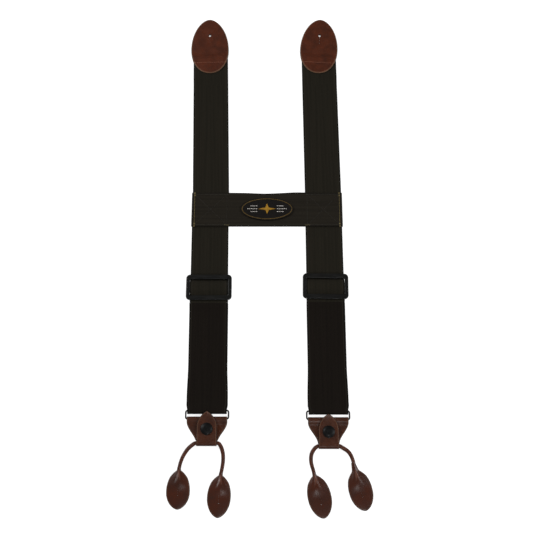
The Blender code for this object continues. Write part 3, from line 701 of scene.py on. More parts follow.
def tube(route: Points, radius: float, closed: bool = False, sides: int = 16,
         shape: Callable[[Points], Points] | None = None, ends: float = 0.0,
         swell: Callable[[Points], Points] | None = None) -> Shape:
    """A round bar along a route.

    Args:
        route: Its middle line.
        radius: Half its diameter.
        closed: True for a ring.
        sides: Points round it.
        shape: Share of the radius for each angle round it, from the top.
        ends: Length over which an open tube's ends are rounded off.
        swell: Share of the radius for each distance along it.

    Returns:
        The closed tube.
    """
    count = len(route)
    before = np.roll(route, 1, axis=0) if closed else np.vstack([route[:1], route[:-1]])
    after = np.roll(route, -1, axis=0) if closed else np.vstack([route[1:], route[-1:]])
    tangent = after - before
    tangent /= np.linalg.norm(tangent, axis=1)[:, None]
    side = np.cross(tangent, (0, 0, 1.0))
    side /= np.linalg.norm(side, axis=1)[:, None]
    up = np.cross(side, tangent)
    angle = np.arange(sides) / sides * math.tau
    wide = shape(angle) if shape else np.ones(sides)
    along = distances(route)
    size = np.ones(count)
    if ends and not closed:
        from_end = np.minimum(along, along[-1] - along) / ends
        size = np.sqrt(np.clip(1 - (1 - np.clip(from_end, 0, 1)) ** 2, 0.02, 1))
    size = size * swell(along) if swell else size
    reach = radius * size[:, None] * wide
    points = (route[:, None, :] + side[:, None, :] * (np.sin(angle) * reach)[:, :, None]
              + up[:, None, :] * (np.cos(angle) * reach)[:, :, None]).reshape(-1, 3)
    numbers = np.arange(count * sides).reshape(count, sides)
    faces = []
    loops = np.hstack([numbers, numbers[:, :1]])
    for i in range(count if closed else count - 1):
        faces += grid_faces(loops[i], loops[(i + 1) % count])
    if not closed:
        faces += [tuple(numbers[0][::-1]), tuple(numbers[-1])]
    cut = np.column_stack([np.tile(angle * radius, count), np.repeat(along, sides)])
    return Shape(points, faces, cut)


def turned(profile: Sequence[tuple], centre: Sequence[float], sides: int = 48) -> Shape:
    """A solid of revolution from (radius, Z) points, which start and end on the axis."""
    start, *ring, stop = profile
    angle = np.arange(sides) / sides * math.tau
    points = [(centre[0], centre[1], start[1]), (centre[0], centre[1], stop[1])]
    for r, z in ring:
        points += [(centre[0] + r * math.cos(a), centre[1] + r * math.sin(a), z) for a in angle]
    numbers = 2 + np.arange(len(ring) * sides).reshape(len(ring), sides)
    loops = np.hstack([numbers, numbers[:, :1]])
    faces = [(0, b, a) for a, b in zip(loops[0], loops[0][1:])]
    for lower, upper in zip(loops, loops[1:]):
        faces += grid_faces(lower, upper)
    faces += [(1, a, b) for a, b in zip(loops[-1], loops[-1][1:])]
    return Shape(np.array(points), faces)


def prism(outline: Points, low: float, high: float) -> Shape:
    """A solid with that (X, Y) outline between two heights."""
    count = len(outline)
    points = np.vstack([np.column_stack([outline, np.full(count, h)]) for h in (low, high)])
    faces = [tuple(range(count - 1, -1, -1)), tuple(range(count, 2 * count))]
    faces += [(i, (i + 1) % count, count + (i + 1) % count, count + i) for i in range(count)]
    return Shape(points, faces)


def keyhole(at: Sequence[float], toward: Sequence[float], radius: float,
            steps: int = 24) -> Points:
    """(X, Y) points of a buttonhole: a round end at the point, and a closed slit toward."""
    slit, length = 0.00014, 0.0140
    open_angle = math.asin(slit / 2 / radius)
    ahead = np.array(toward, float) / np.linalg.norm(toward)
    across = np.array([-ahead[1], ahead[0]])
    at = np.array(at, float)
    angles = open_angle + (math.tau - 2 * open_angle) * np.arange(steps + 1) / steps
    points = [at + radius * (ahead * math.cos(a) + across * math.sin(a)) for a in angles]
    end = at + ahead * length
    return np.array([*points, end - across * slit / 2, end + across * slit / 2])


# ---- the bench: from shapes to pieces ----------------------------------------------------------
class Bench:
    """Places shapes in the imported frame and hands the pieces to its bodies."""

    def __init__(self) -> None:
        """Find where the cross band is in the frame."""
        low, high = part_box("cross_band")
        self.origin = np.array([(low.x + high.x) / 2, (low.y + high.y) / 2, 0.0])
        self.stitcher = Stitcher()

    def object(self, name: str, shape: Shape, finish: Finish, crease: float = 42.0,
               ) -> bpy.types.Object:
        """A mesh object in the frame.

        Args:
            name: The piece's name.
            shape: Its shape in layout coordinates.
            finish: What it is made of.
            crease: Edges sharper than this many degrees stay sharp.

        Returns:
            The object, which rides on nothing yet.
        """
        mesh = bpy.data.meshes.new(name)
        mesh.from_pydata((shape.points + self.origin).tolist(), [], shape.faces)
        if shape.cut is not None:
            loops = np.zeros(len(mesh.loops), np.int32)
            mesh.loops.foreach_get("vertex_index", loops)
            layer = mesh.uv_layers.new(name="cut")
            layer.data.foreach_set("uv", shape.cut[loops].astype(np.float32).ravel())
        if isinstance(finish, Hide):
            for key in ("edge_mm", "raw_edge", "ridge_highlight"):
                shape.numbers.setdefault(key, np.zeros(len(shape.points)))
        for key, values in shape.numbers.items():
            mesh.attributes.new(key, "FLOAT", "POINT").data.foreach_set(
                "value", values.astype(np.float32))
        mesh.shade_smooth()
        mesh.set_sharp_from_angle(angle=math.radians(crease))
        mesh.materials.append(finish.material())
        made = bpy.data.objects.new(name, mesh)
        bpy.context.scene.collection.objects.link(made)
        return made

    def cut_out(self, made: bpy.types.Object, tool: Shape) -> None:
        """Take a shape in layout coordinates out of a piece."""
        mesh = bpy.data.meshes.new("cutter")
        mesh.from_pydata((tool.points + self.origin).tolist(), [], tool.faces)
        cutter = bpy.data.objects.new("cutter", mesh)
        bpy.context.scene.collection.objects.link(cutter)
        self.apply(made, cutter, "DIFFERENCE")

    @staticmethod
    def apply(made: bpy.types.Object, other: bpy.types.Object, operation: str) -> None:
        """Apply a boolean with another object, which is then removed."""
        modifier = made.modifiers.new("boolean", "BOOLEAN")
        modifier.operation, modifier.object, modifier.solver = operation, other, "EXACT"
        graph = bpy.context.evaluated_depsgraph_get()
        result = bpy.data.meshes.new_from_object(made.evaluated_get(graph))
        made.modifiers.remove(modifier)
        made.data = result
        bpy.data.objects.remove(other)

    def ride(self, made: bpy.types.Object, body: str, *nodes: str) -> bpy.types.Object:
        """Hand a piece to a body, in place of those CAD nodes."""
        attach(made, body)
        if nodes:
            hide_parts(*nodes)
        LOG.info("%s rides on %s", made.name, body)
        return made

    def blend(self, made: bpy.types.Object, bodies: tuple[str, str], start: Sequence[float],
              end: Sequence[float], *nodes: str) -> bpy.types.Object:
        """Bake a piece's place into its mesh, hide the CAD nodes it replaces and log the two bodies
        it lies between.
        """
        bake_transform(made)
        if nodes:
            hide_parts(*nodes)
        LOG.info("%s bends between %s and %s", made.name, *bodies)
        return made

    def sew(self, name: str, lines: Sequence[Points], finish: Finish, stitch: "Stitch",
            ) -> bpy.types.Object:
        """Stitches along lines in layout coordinates, as one piece."""
        return self.stitcher.sew(name, [line + self.origin for line in lines], finish, stitch)


@dataclass(frozen=True)
class Stitch:
    """One kind of stitch, in metres."""

    pitch: float = 0.0029
    length: float = 0.0023
    thread: float = 0.00055


class Stitcher:
    """Sews rows of stitches with Geometry Nodes."""

    def __init__(self) -> None:
        """Start with no stitch tree."""
        self.tree: Tree | None = None

    def nodes(self) -> Tree:
        """The stitch tree, made once: a rounded stitch at each point of an evenly split line."""
        if self.tree:
            return self.tree
        tree = bpy.data.node_groups.new("row_of_stitches", "GeometryNodeTree")
        face = tree.interface
        face.new_socket("Geometry", in_out="INPUT", socket_type="NodeSocketGeometry")
        for name, kind in (("Pitch", "Float"), ("Stitch Size", "Vector"), ("Thread", "Material")):
            face.new_socket(name, in_out="INPUT", socket_type=f"NodeSocket{kind}")
        face.new_socket("Geometry", in_out="OUTPUT", socket_type="NodeSocketGeometry")
        start = add_node(tree, "NodeGroupInput")
        line = add_node(tree, "GeometryNodeMeshToCurve", {0: start.outputs["Geometry"]})
        places = add_node(tree, "GeometryNodeCurveToPoints", {
            "Curve": line.outputs[0], "Length": start.outputs["Pitch"]}, mode="LENGTH")
        ball = add_node(tree, "GeometryNodeMeshUVSphere", {
            "Segments": 8, "Rings": 6, "Radius": 0.5})
        stitch = add_node(tree, "GeometryNodeTransform", {
            "Geometry": ball.outputs["Mesh"], "Scale": start.outputs["Stitch Size"]})
        rows = add_node(tree, "GeometryNodeInstanceOnPoints", {
            "Points": places.outputs["Points"], "Instance": stitch.outputs[0],
            "Rotation": places.outputs["Rotation"]})
        real = add_node(tree, "GeometryNodeRealizeInstances", {0: rows.outputs[0]})
        smooth = add_node(tree, "GeometryNodeSetShadeSmooth", {0: real.outputs[0]})
        dressed = add_node(tree, "GeometryNodeSetMaterial", {
            "Geometry": smooth.outputs[0], "Material": start.outputs["Thread"]})
        add_node(tree, "NodeGroupOutput", {0: dressed.outputs[0]})
        self.tree = tree
        return tree

    def sew(self, name: str, lines: Sequence[Points], finish: Finish, stitch: Stitch,
            ) -> bpy.types.Object:
        """Rows of stitches as a plain mesh.

        Args:
            name: The piece's name.
            lines: The seams' points, in the frame.
            finish: The thread.
            stitch: The stitch's sizes.

        Returns:
            The object, which rides on nothing yet.
        """
        points = np.vstack(lines)
        edges, start = [], 0
        for line in lines:
            edges += [(start + i, start + i + 1) for i in range(len(line) - 1)]
            start += len(line)
        mesh = bpy.data.meshes.new(name)
        mesh.from_pydata(points.tolist(), edges, [])
        made = bpy.data.objects.new(name, mesh)
        bpy.context.scene.collection.objects.link(made)
        modifier = made.modifiers.new("stitches", "NODES")
        modifier.node_group = self.nodes()
        values = {
            "Pitch": stitch.pitch,
            "Stitch Size": (stitch.thread, stitch.thread, stitch.length),
            "Thread": finish.material(),
        }
        for item in self.tree.interface.items_tree:
            if item.in_out == "INPUT" and item.name in values:
                modifier[item.identifier] = values[item.name]
        graph = bpy.context.evaluated_depsgraph_get()
        result = bpy.data.meshes.new_from_object(made.evaluated_get(graph))
        made.modifiers.remove(modifier)
        made.data = result
        return made


# ---- plans of the two sides --------------------------------------------------------------------
@dataclass(frozen=True)
class TabPlan:
    """Where one teardrop tab lies."""

    name: str
    neck: tuple[float, float]    # from the snap
    length: float
    lean: float                  # degrees that its tip swings toward +X
    widest: float                # share of the length
    sleeve: float = 0.0035       # how far the neck reaches up over the cord
    flare: float = 0.0           # how much wider its foot is than its top


@dataclass(frozen=True)
class StrapPlan:
    """How one of the two straps lies, in layout metres."""

    name: str
    x: float
    rear_slope: float
    front_slope: float
    egg_offset: float
    egg_turn: float
    glide_y: float
    glide_turn: float
    ring_y: float
    ring_offset: float
    snap_y: float
    cord: tuple
    tabs: tuple[TabPlan, TabPlan]

    def middle(self, y: Points, share: Points | float = 0.0) -> Points:
        """X of the strap's middle line."""
        y = np.asarray(y, float)
        rear = self.x + self.rear_slope * (y - HALF_WEB)
        front = self.x + self.front_slope * (-HALF_WEB - y)
        return np.where(y > HALF_WEB, rear, np.where(y < -HALF_WEB, front, self.x))

    def middle_at(self, y: float) -> float:
        """X of the strap's middle line at one place."""
        return float(self.middle(np.array([y]))[0])

    @property
    def leather_x(self) -> float:
        """X of the ring, the yoke and the snap."""
        return self.middle_at(self.ring_y) + self.ring_offset


LEFT = StrapPlan(
    "left", -0.0773, -0.0215, 0.0056, -0.0022, 1.4, -0.1128, 0.0, -0.2750, 0.0003, -0.2987,
    cord=(
        ((-0.0333, -0.0498), (-0.0327, -0.0450), (-0.0310, -0.0385), (-0.0277, -0.0310),
         (-0.0225, -0.0235), (-0.0160, -0.0182)),
        ((0.0160, -0.0182), (0.0190, -0.0235), (0.0207, -0.0300), (0.0211, -0.0370),
         (0.0205, -0.0440), (0.0192, -0.0515), (0.0185, -0.0560)),
    ),
    tabs=(
        TabPlan("outer", (-0.0333, -0.0502), 0.0468, -1.0, 0.56),
        TabPlan("inner", (0.0184, -0.0564), 0.0505, -4.0, 0.53),
    ),
)
RIGHT = StrapPlan(
    "right", 0.0773, -0.0085, 0.0010, 0.0006, -3.8, -0.1112, -0.8, -0.2758, -0.0005, -0.3023,
    cord=(
        ((-0.0185, -0.0526), (-0.0199, -0.0465), (-0.0218, -0.0400), (-0.0226, -0.0335),
         (-0.0216, -0.0265), (-0.0185, -0.0210), (-0.0160, -0.0186)),
        ((0.0160, -0.0186), (0.0225, -0.0225), (0.0267, -0.0275), (0.0295, -0.0345),
         (0.0310, -0.0420), (0.0320, -0.0468)),
    ),
    tabs=(
        TabPlan("inner", (-0.0184, -0.0530), 0.0520, 12.4, 0.53),
        TabPlan("outer", (0.0321, -0.0472), 0.0490, 13.8, 0.53, 0.0105, 0.0019),
    ),
)


# ---- the middle of the back ---------------------------------------------------------------------
@dataclass
class CrossBand:
    """The band sewn over both straps, and the rubber patch on its middle."""

    bench: Bench
    length: float = 0.2064
    low: float = LAYER
    seam_inset: float = 0.0027
    end_inset: float = 0.0040
    patch_length: float = 0.0712
    patch_width: float = 0.0328
    patch_t: float = 0.0018
    rim_inset: float = 0.0011
    rim_width: float = 0.0011

    @property
    def top(self) -> float:
        """Height of the band's upper face."""
        return self.low + WEBBING_T

    def seams(self, plan: StrapPlan) -> tuple[list[Points], list[Points]]:
        """The box and cross over one strap: its plain seams and its end seam."""
        sign = math.copysign(1.0, plan.x)
        inner = plan.x - sign * (HALF_WEB - self.seam_inset)
        outer = sign * (self.length / 2 - self.end_inset)
        high = HALF_WEB - self.seam_inset
        plain = [
            [(inner, high), (outer, high)], [(inner, -high), (outer, -high)],
            [(inner, -high), (inner, high)],
            [(inner, -high), (outer, high)], [(inner, high), (outer, -high)],
        ]
        end = [[(outer, -high - 0.001), (outer, high + 0.001)]]
        return [np.array(line) for line in plain], [np.array(line) for line in end]

    def at_height(self, lines: Sequence[Points], z: float) -> list[Points]:
        """Flat lines lifted to a height."""
        return [np.column_stack([line, np.full(len(line), z)]) for line in lines]

    def build(self) -> None:
        """Make and dress every piece."""
        self.band()
        self.stitches()
        self.patch()

    def band(self) -> None:
        """The band's webbing, pulled in along its seams."""
        plain, ends = self.seams(LEFT)
        more_plain, more_ends = self.seams(RIGHT)
        lines = [*plain, *ends, *more_plain, *more_ends]

        def relief(x: Points, y: Points, s: Points, edge: Points) -> tuple:
            """The seams, a faint unevenness and the woven edges."""
            seam = dent(x, y, lines, 0.00024, 0.0010)
            wave_up = 0.00012 * np.sin(x * 95) * np.cos(y * 60)
            bead = 0.00012 * np.exp(-((HALF_WEB - np.abs(y) - 0.0011) / 0.0008) ** 2)
            return seam + wave_up * (np.abs(x) < 0.05) + bead, np.zeros_like(x)

        z = self.low + WEBBING_T / 2
        shape = Sheet(
            [(-HALF_WEB, z), (HALF_WEB, z)], lambda s, y: np.full(len(s), self.length / 2),
            WEBBING_T, lambda y, u: np.zeros(len(y)), step=0.00075, columns=240,
            round_ends=(True, True), across=True, relief=relief,
        ).build()
        shape.numbers["edge_mm"] = (HALF_WEB - np.abs(shape.points[:, 1])) * MM

        def slack(points: Points) -> Points:
            """The far edge pulled up and down a little between the straps."""
            x, y = points[:, 0], points[:, 1]
            pull = (0.0007 * np.exp(-((x - 0.042) / 0.016) ** 2)
                    - 0.0012 * np.exp(-((x + 0.002) / 0.022) ** 2))
            return points + np.column_stack([0 * x, pull * np.clip(y / HALF_WEB, 0, 1), 0 * x])

        made = self.bench.object("cross_band_webbing", shape.moved(slack), BAND_ELASTIC)
        self.bench.ride(made, "root", "cross_band")

    def stitches(self) -> None:
        """The box and cross over each strap, its end seam and the nubs at its corners."""
        for plan in (LEFT, RIGHT):
            plain, ends = self.seams(plan)
            made = self.bench.sew(
                f"{plan.name}_box_and_cross", self.at_height(plain, self.top - 0.00006),
                DARK_THREAD, Stitch(0.0027, 0.0022, 0.00045))
            self.bench.ride(made, "root")
            sign = math.copysign(1.0, plan.x)
            outer, high = ends[0][0][0], HALF_WEB - 0.0006
            nubs = [np.array([(outer + sign * k * 0.0006, side * high - side * 0.0035),
                              (outer + sign * k * 0.0006, side * high)])
                    for side in (-1, 1) for k in (-1, 0, 1)]
            inner = plan.x - sign * (HALF_WEB - self.seam_inset)
            nubs.append(np.array([(inner - 0.0022, -high + 0.0016),
                                  (inner + 0.0022, -high + 0.0016)]))
            made = self.bench.sew(
                f"{plan.name}_end_seam", self.at_height([*ends, *nubs], self.top + 0.00004),
                OLIVE_THREAD, Stitch(0.0021, 0.0019, 0.00065))
            self.bench.ride(made, "root")

    def oval(self, inset: float, steps: int = 144) -> Points:
        """The patch's ellipse, moved in by an inset."""
        a = np.arange(steps) / steps * math.tau
        half_x, half_y = self.patch_length / 2, self.patch_width / 2
        outline = np.column_stack([half_x * np.cos(a), half_y * np.sin(a)])
        normal = np.column_stack([half_y * np.cos(a), half_x * np.sin(a)])
        return outline - inset * normal / np.linalg.norm(normal, axis=1)[:, None]

    def patch(self) -> None:
        """The moulded pad, its raised border and its plain ornament."""
        low = self.top + GAP / 2
        high = self.top + GAP + self.patch_t
        section = [(0.00025, low), (0.0, low + 0.0003), (0.0, high - 0.0006),
                   (0.00012, high - 0.00022), (0.00045, high - 0.00004), (0.0009, high),
                   (0.0029, high - 0.00018), (0.0034, high - 0.00022)]
        shape = stacked([(self.oval(inset), z) for inset, z in section])
        made = self.bench.object("patch_pad", shape, PATCH_RUBBER)
        self.bench.ride(made, "root", "patch_base")

        floor, crest = high - 0.0003, high + GAP + 0.0004
        rim = [(0.0, floor), (0.0, crest - 0.0003), (0.25, crest - 0.00005), (0.5, crest),
               (0.75, crest - 0.00005), (1.0, crest - 0.0003), (1.0, floor)]
        shape = around(self.oval(self.rim_inset), self.oval(self.rim_inset + self.rim_width), rim)
        made = self.bench.object("patch_border", shape, PATCH_RELIEF)
        self.bench.ride(made, "root", "patch_rim")
        self.ornament(high - 0.0004, high + GAP + 0.0005)

    def ornament(self, low: float, high: float) -> None:
        """A plain four-pointed star, with dashes on either side of it."""
        ray, short, waist_x, waist_y = 0.0120, 0.0078, 0.0023, 0.0019
        outline = np.array([
            (ray, 0), (waist_x, waist_y), (0, short), (-waist_x, waist_y), (-ray, 0),
            (-waist_x, -waist_y), (0, -short), (waist_x, -waist_y)])
        shoulder = high - 0.00045
        points = np.vstack([
            np.column_stack([outline, np.full(8, low)]),
            np.column_stack([outline, np.full(8, shoulder)]), [[0, 0, high]]])
        faces = [tuple(range(7, -1, -1))]
        faces += [(i, (i + 1) % 8, 8 + (i + 1) % 8, 8 + i) for i in range(8)]
        faces += [(8 + i, 8 + (i + 1) % 8, 16) for i in range(8)]
        star = self.bench.object("patch_ornament_star", Shape(points, faces), PATCH_GOLD, 20)
        self.bench.ride(star, "root", "patch_star")
        rows = []
        for side in (-1, 1):
            for row, reach in ((-0.0042, 0.0215), (0.0, 0.0262), (0.0042, 0.0215)):
                rows.append(np.array([(side * 0.0142, row, high - 0.0005),
                                      (side * reach, row, high - 0.0005)]))
        dashes = self.bench.sew("patch_ornament_dashes", rows, PATCH_WHITE,
                                Stitch(0.0024, 0.0019, 0.0011))
        self.bench.ride(dashes, "root")


def stacked(rings: Sequence[tuple[Points, float]]) -> Shape:
    """A solid of outlines one above another, from the lowest to the top."""
    count = len(rings[0][0])
    points = np.vstack([np.column_stack([ring, np.full(count, z)]) for ring, z in rings])
    numbers = np.arange(count * len(rings)).reshape(len(rings), count)
    loops = np.hstack([numbers, numbers[:, :1]])
    faces = [tuple(numbers[0][::-1]), tuple(numbers[-1])]
    for lower, upper in zip(loops, loops[1:]):
        faces += grid_faces(lower, upper)
    return Shape(points, faces)


def around(outer: Points, inner: Points, section: Sequence[tuple[float, float]]) -> Shape:
    """A ring between two outlines, with a section of (share from outer to inner, Z)."""
    count = len(outer)
    points = np.vstack([
        np.column_stack([outer + (inner - outer) * share, np.full(count, z)])
        for share, z in section])
    numbers = np.arange(count * len(section)).reshape(len(section), count)
    loops = np.hstack([numbers, numbers[:, :1]])
    faces: list = []
    for k in range(len(section)):
        faces += grid_faces(loops[k], loops[(k + 1) % len(section)])
    return Shape(points, faces)


# ---- one strap and all that hangs on it ----------------------------------------------------------
@dataclass
class OneSide:
    """What the sub-assemblies of one strap share."""

    bench: Bench
    plan: StrapPlan

    def name(self, piece: str) -> str:
        """A piece's, a body's or a node's full name."""
        return f"{self.plan.name}_{piece}"


@dataclass
class Strap(OneSide):
    """One strap's webbing, from under the cross band to the egg tab and down to the ring."""

    wave_height: float = 0.0004
    sag: float = 0.0016          # how far the slack loop hangs below the ring's bar

    def webbing(self, name: str, path: Sequence[tuple], waves: tuple[float, float] | None = None,
                drift: float = 0.0, round_ends: tuple[bool, bool] = (False, False),
                finish: Finish = STRAP_ELASTIC, spread: float = 0.0, flare: float = 0.0,
                ) -> bpy.types.Object:
        """A length of elastic webbing, with a bead inside each woven edge.

        Args:
            name: The piece's name.
            path: (Y, Z) of the middle of its thickness.
            waves: The stretch of Y in which it lies slightly wavy.
            drift: How far its ends spread sideways where it doubles back.
            round_ends: Which ends are cut ends, and not joins.
            finish: The webbing's finish.
            spread: How much wider each half is where it is pressed flat in the adjuster.
            flare: How much wider each half is just above the ring.

        Returns:
            The object.
        """
        def relief(x: Points, y: Points, s: Points, edge: Points) -> tuple:
            """The beads at both edges, the cords and the slack waves."""
            bead = 0.00010 * np.exp(-((edge - 0.0012) / 0.0008) ** 2)
            ribs = 0.00002 * np.sin((x - self.plan.x) * math.tau / 0.0032)
            lift = np.zeros_like(x)
            if waves:
                mask = np.clip(np.minimum(y - waves[0], waves[1] - y) / 0.018, 0, 1)
                mask = mask * mask * (3 - 2 * mask)
                phase = self.plan.x * 40
                lift = self.wave_height * mask * (
                    0.5 + 0.28 * np.sin(y * 88 + phase + x * 14) + 0.22 * np.sin(y * 41 - x * 60))
            return lift + bead + ribs, lift - bead - ribs

        def middle(y: Points, share: Points) -> Points:
            """X of the middle line, with its drift."""
            return self.plan.middle(y) + drift * (0.5 - share)

        def half(s: Points, y: Points) -> Points:
            """Half widths, wider in the adjuster and above the ring."""
            pressed = np.clip((0.0205 - np.abs(y - self.plan.glide_y)) / 0.0030, 0, 1)
            above = y - self.plan.ring_y
            splayed = (np.clip((0.060 - above) / 0.045, 0, 1)
                       * np.clip((above - 0.001) / 0.006, 0, 1))
            return HALF_WEB + spread * pressed + flare * splayed * splayed * (3 - 2 * splayed)

        made = self.bench.object(name, Sheet(
            path, half, WEBBING_T, middle, columns=58,
            round_ends=round_ends, relief=relief).build(), finish)
        return made

    def build(self) -> None:
        """Make and dress the webbing."""
        self.rear()
        self.front()
        self.loop()

    def rear(self) -> None:
        """The rear strap, and its end between the plies of the egg tab."""
        x = self.plan.x
        join, flex = 0.1950, 0.2112
        inside = LEATHER_T + GAP + WEBBING_T / 2
        made = self.webbing(self.name("rear_webbing"), [(0.0, FLAT), (join, FLAT)],
                            waves=(0.030, join - 0.002))
        self.bench.blend(made, ("root", self.name("back")), (x, 0.0235, 0), (x, 0.0345, 0),
                         self.name("back_strap"), self.name("band_strap"))
        path = [(join, FLAT), *ease((0.1952, FLAT), (0.2082, inside)), (0.2375, inside)]
        made = self.webbing(self.name("rear_webbing_end"), path, round_ends=(False, True))
        self.bench.blend(made, (self.name("back"), self.name("rear_tab")),
                         (x, 0.2030, 0), (x, flex + 0.0013, 0), self.name("rear_tab_strap_end"))

    def front(self) -> None:
        """The front strap from the band through the adjuster."""
        plan, x = self.plan, self.plan.x
        top, foot = plan.glide_y + GLIDE_TOP, plan.glide_y - GLIDE_FOOT
        made = self.webbing(self.name("shoulder_webbing"), [(-0.0400, FLAT), (0.0, FLAT)])
        self.bench.blend(made, ("root", self.name("shoulder")), (x, -0.0235, 0), (x, -0.0345, 0))
        made = self.webbing(self.name("front_webbing"), [(top, FLAT), (-0.0400, FLAT)])
        self.bench.blend(made, (self.name("shoulder"), self.name("adjuster")),
                         (x, -0.0405, 0), (x, top, 0), self.name("shoulder_strap"))

        y = plan.glide_y
        over_bar, over_tail = BAR_TOP + GAP + LAYER + FLAT, 2 * LAYER + FLAT
        path = [(top, FLAT), *ease((y + 0.0158, FLAT), (y + 0.0034, over_bar)),
                *ease((y - 0.0028, over_bar), (y - 0.0112, over_tail)), (foot, over_tail)]
        made = self.webbing(self.name("adjuster_webbing"), path, spread=0.0003)
        self.bench.ride(made, self.name("adjuster"), self.name("adjuster_strap"))

        radius = BAR_TOP + GAP + FLAT - BAR_Z
        path = [(foot, FLAT), *arc((y + 0.0018, BAR_Z), radius, -90, 90),
                *ease((y - 0.0018, BAR_Z + radius), (y - 0.0090, LAYER + FLAT)),
                (y - 0.0180, LAYER + FLAT)]
        made = self.webbing(self.name("adjuster_loop_webbing"), path, round_ends=(False, True),
                            spread=0.0003)
        self.bench.ride(made, self.name("adjuster"), self.name("adjuster_loop"))
        middle = plan.middle_at(y - 0.016)
        seam = np.array([(middle - 0.0225, y - 0.0160, 0.0001),
                         (middle + 0.0225, y - 0.0160, 0.0001)])
        row = np.array([seam, seam - (0, 0.0014, 0)])
        made = self.bench.sew(self.name("adjuster_loop_seam"), list(row), DARK_THREAD,
                              Stitch(0.0024, 0.0019, 0.0005))
        self.bench.ride(made, self.name("adjuster"))

    def loop(self) -> None:
        """The doubled webbing from the adjuster round the ring."""
        plan, x = self.plan, self.plan.x
        foot, over_tail = plan.glide_y - GLIDE_FOOT, 2 * LAYER + FLAT
        radius = WRAP + FLAT
        path = [*ease((foot, over_tail), (foot - 0.0120, LAYER + FLAT)),
                *ease((plan.ring_y + 0.0130, LAYER + FLAT),
                      (plan.ring_y + 0.0015, RING_Z + radius)),
                *arc((plan.ring_y - self.sag, RING_Z), radius, 90, 270), (foot, FLAT)]
        made = self.webbing(self.name("loop_webbing"), path, drift=-0.0010, finish=LOOP_ELASTIC,
                            flare=0.0011)
        self.bench.blend(made, (self.name("adjuster"), self.name("loop")),
                         (x, foot - 0.0005, 0), (x, plan.ring_y + 0.0140, 0),
                         self.name("loop_strap"))


@dataclass
class EggTab(OneSide):
    """The egg-shaped leather tab on a strap's rear end: two plies and a buttonhole."""

    start: float = 0.2132
    length: float = 0.0915
    width: float = 0.0548
    widest: float = 0.0395
    strap_end: float = 0.2375
    seam_y: float = 0.2306
    hole: float = 0.0640

    @property
    def x(self) -> float:
        """X of its middle line before it is turned."""
        return self.plan.middle_at(self.start) + self.plan.egg_offset

    def turned(self, points: Points) -> Points:
        """Points turned as the tab lies."""
        return turn_about(points, (self.x, self.start + self.length / 2), self.plan.egg_turn)

    def half(self, s: Points, y: Points) -> Points:
        """Half widths of its outline."""
        return leaf(y - self.start, self.length, self.width, self.widest, 0.45, 0.56)

    def build(self) -> None:
        """Both plies and the seam through the strap's end."""
        body = self.name("rear_tab")
        low = LEATHER_T / 2
        over_end, over_ply = 0.00425, PLY_Z
        end = self.start + self.length
        seam_y = self.seam_y
        face_path = [(self.start, over_end),
                     *ease((self.strap_end + 0.0006, over_end),
                           (self.strap_end + 0.0080, over_ply)),
                     (end, over_ply)]
        creases = [[(self.x - 0.0235, seam_y), (self.x + 0.0235, seam_y)]]

        def face_relief(x: Points, y: Points, s: Points, edge: Points) -> tuple:
            """The puffed face, pulled in at its seam."""
            puff = 0.00035 * (1 - np.exp(-edge / 0.004))
            roll = 0.00010 * np.sin(x * 210 + y * 90) * np.clip(edge / 0.006, 0, 1)
            seam = dent(x, y, creases, 0.00035, 0.0009)
            return puff + roll + seam, np.zeros_like(x)

        for ply, path, relief in (
            ("backing", [(self.start, low), (end, low)], None),
            ("face", face_path, face_relief),
        ):
            shape = Sheet(path, self.half, LEATHER_T, lambda y, u: np.full(len(y), self.x),
                          leaf_rows=130, columns=44, relief=relief).build()
            y = shape.points[:, 1]
            shape.numbers["raw_edge"] = (np.clip((0.45 - shape.numbers["edge_mm"]) / 0.3, 0, 1)
                                         * np.clip((self.start + 0.030 - y) / 0.01, 0, 1))
            name = self.name(f"egg_{ply}")
            made = self.bench.object(name, shape.moved(self.turned), EGG_HIDE)
            outline = keyhole((self.x, self.start + self.hole), (0, -1), 0.0021)
            self.bench.cut_out(made, prism(outline, -0.002, 0.009).moved(self.turned))
            self.bench.ride(made, body, self.name(f"rear_tab_{ply}"))

        z = over_end + LEATHER_T / 2 - 0.00002
        line = np.array([(self.x - 0.0232, seam_y, z), (self.x + 0.0232, seam_y, z)])
        seam = self.bench.sew(self.name("egg_seam"), [self.turned(line)], PALE_THREAD,
                              Stitch(0.0026, 0.0021, 0.00055))
        self.bench.ride(seam, body)


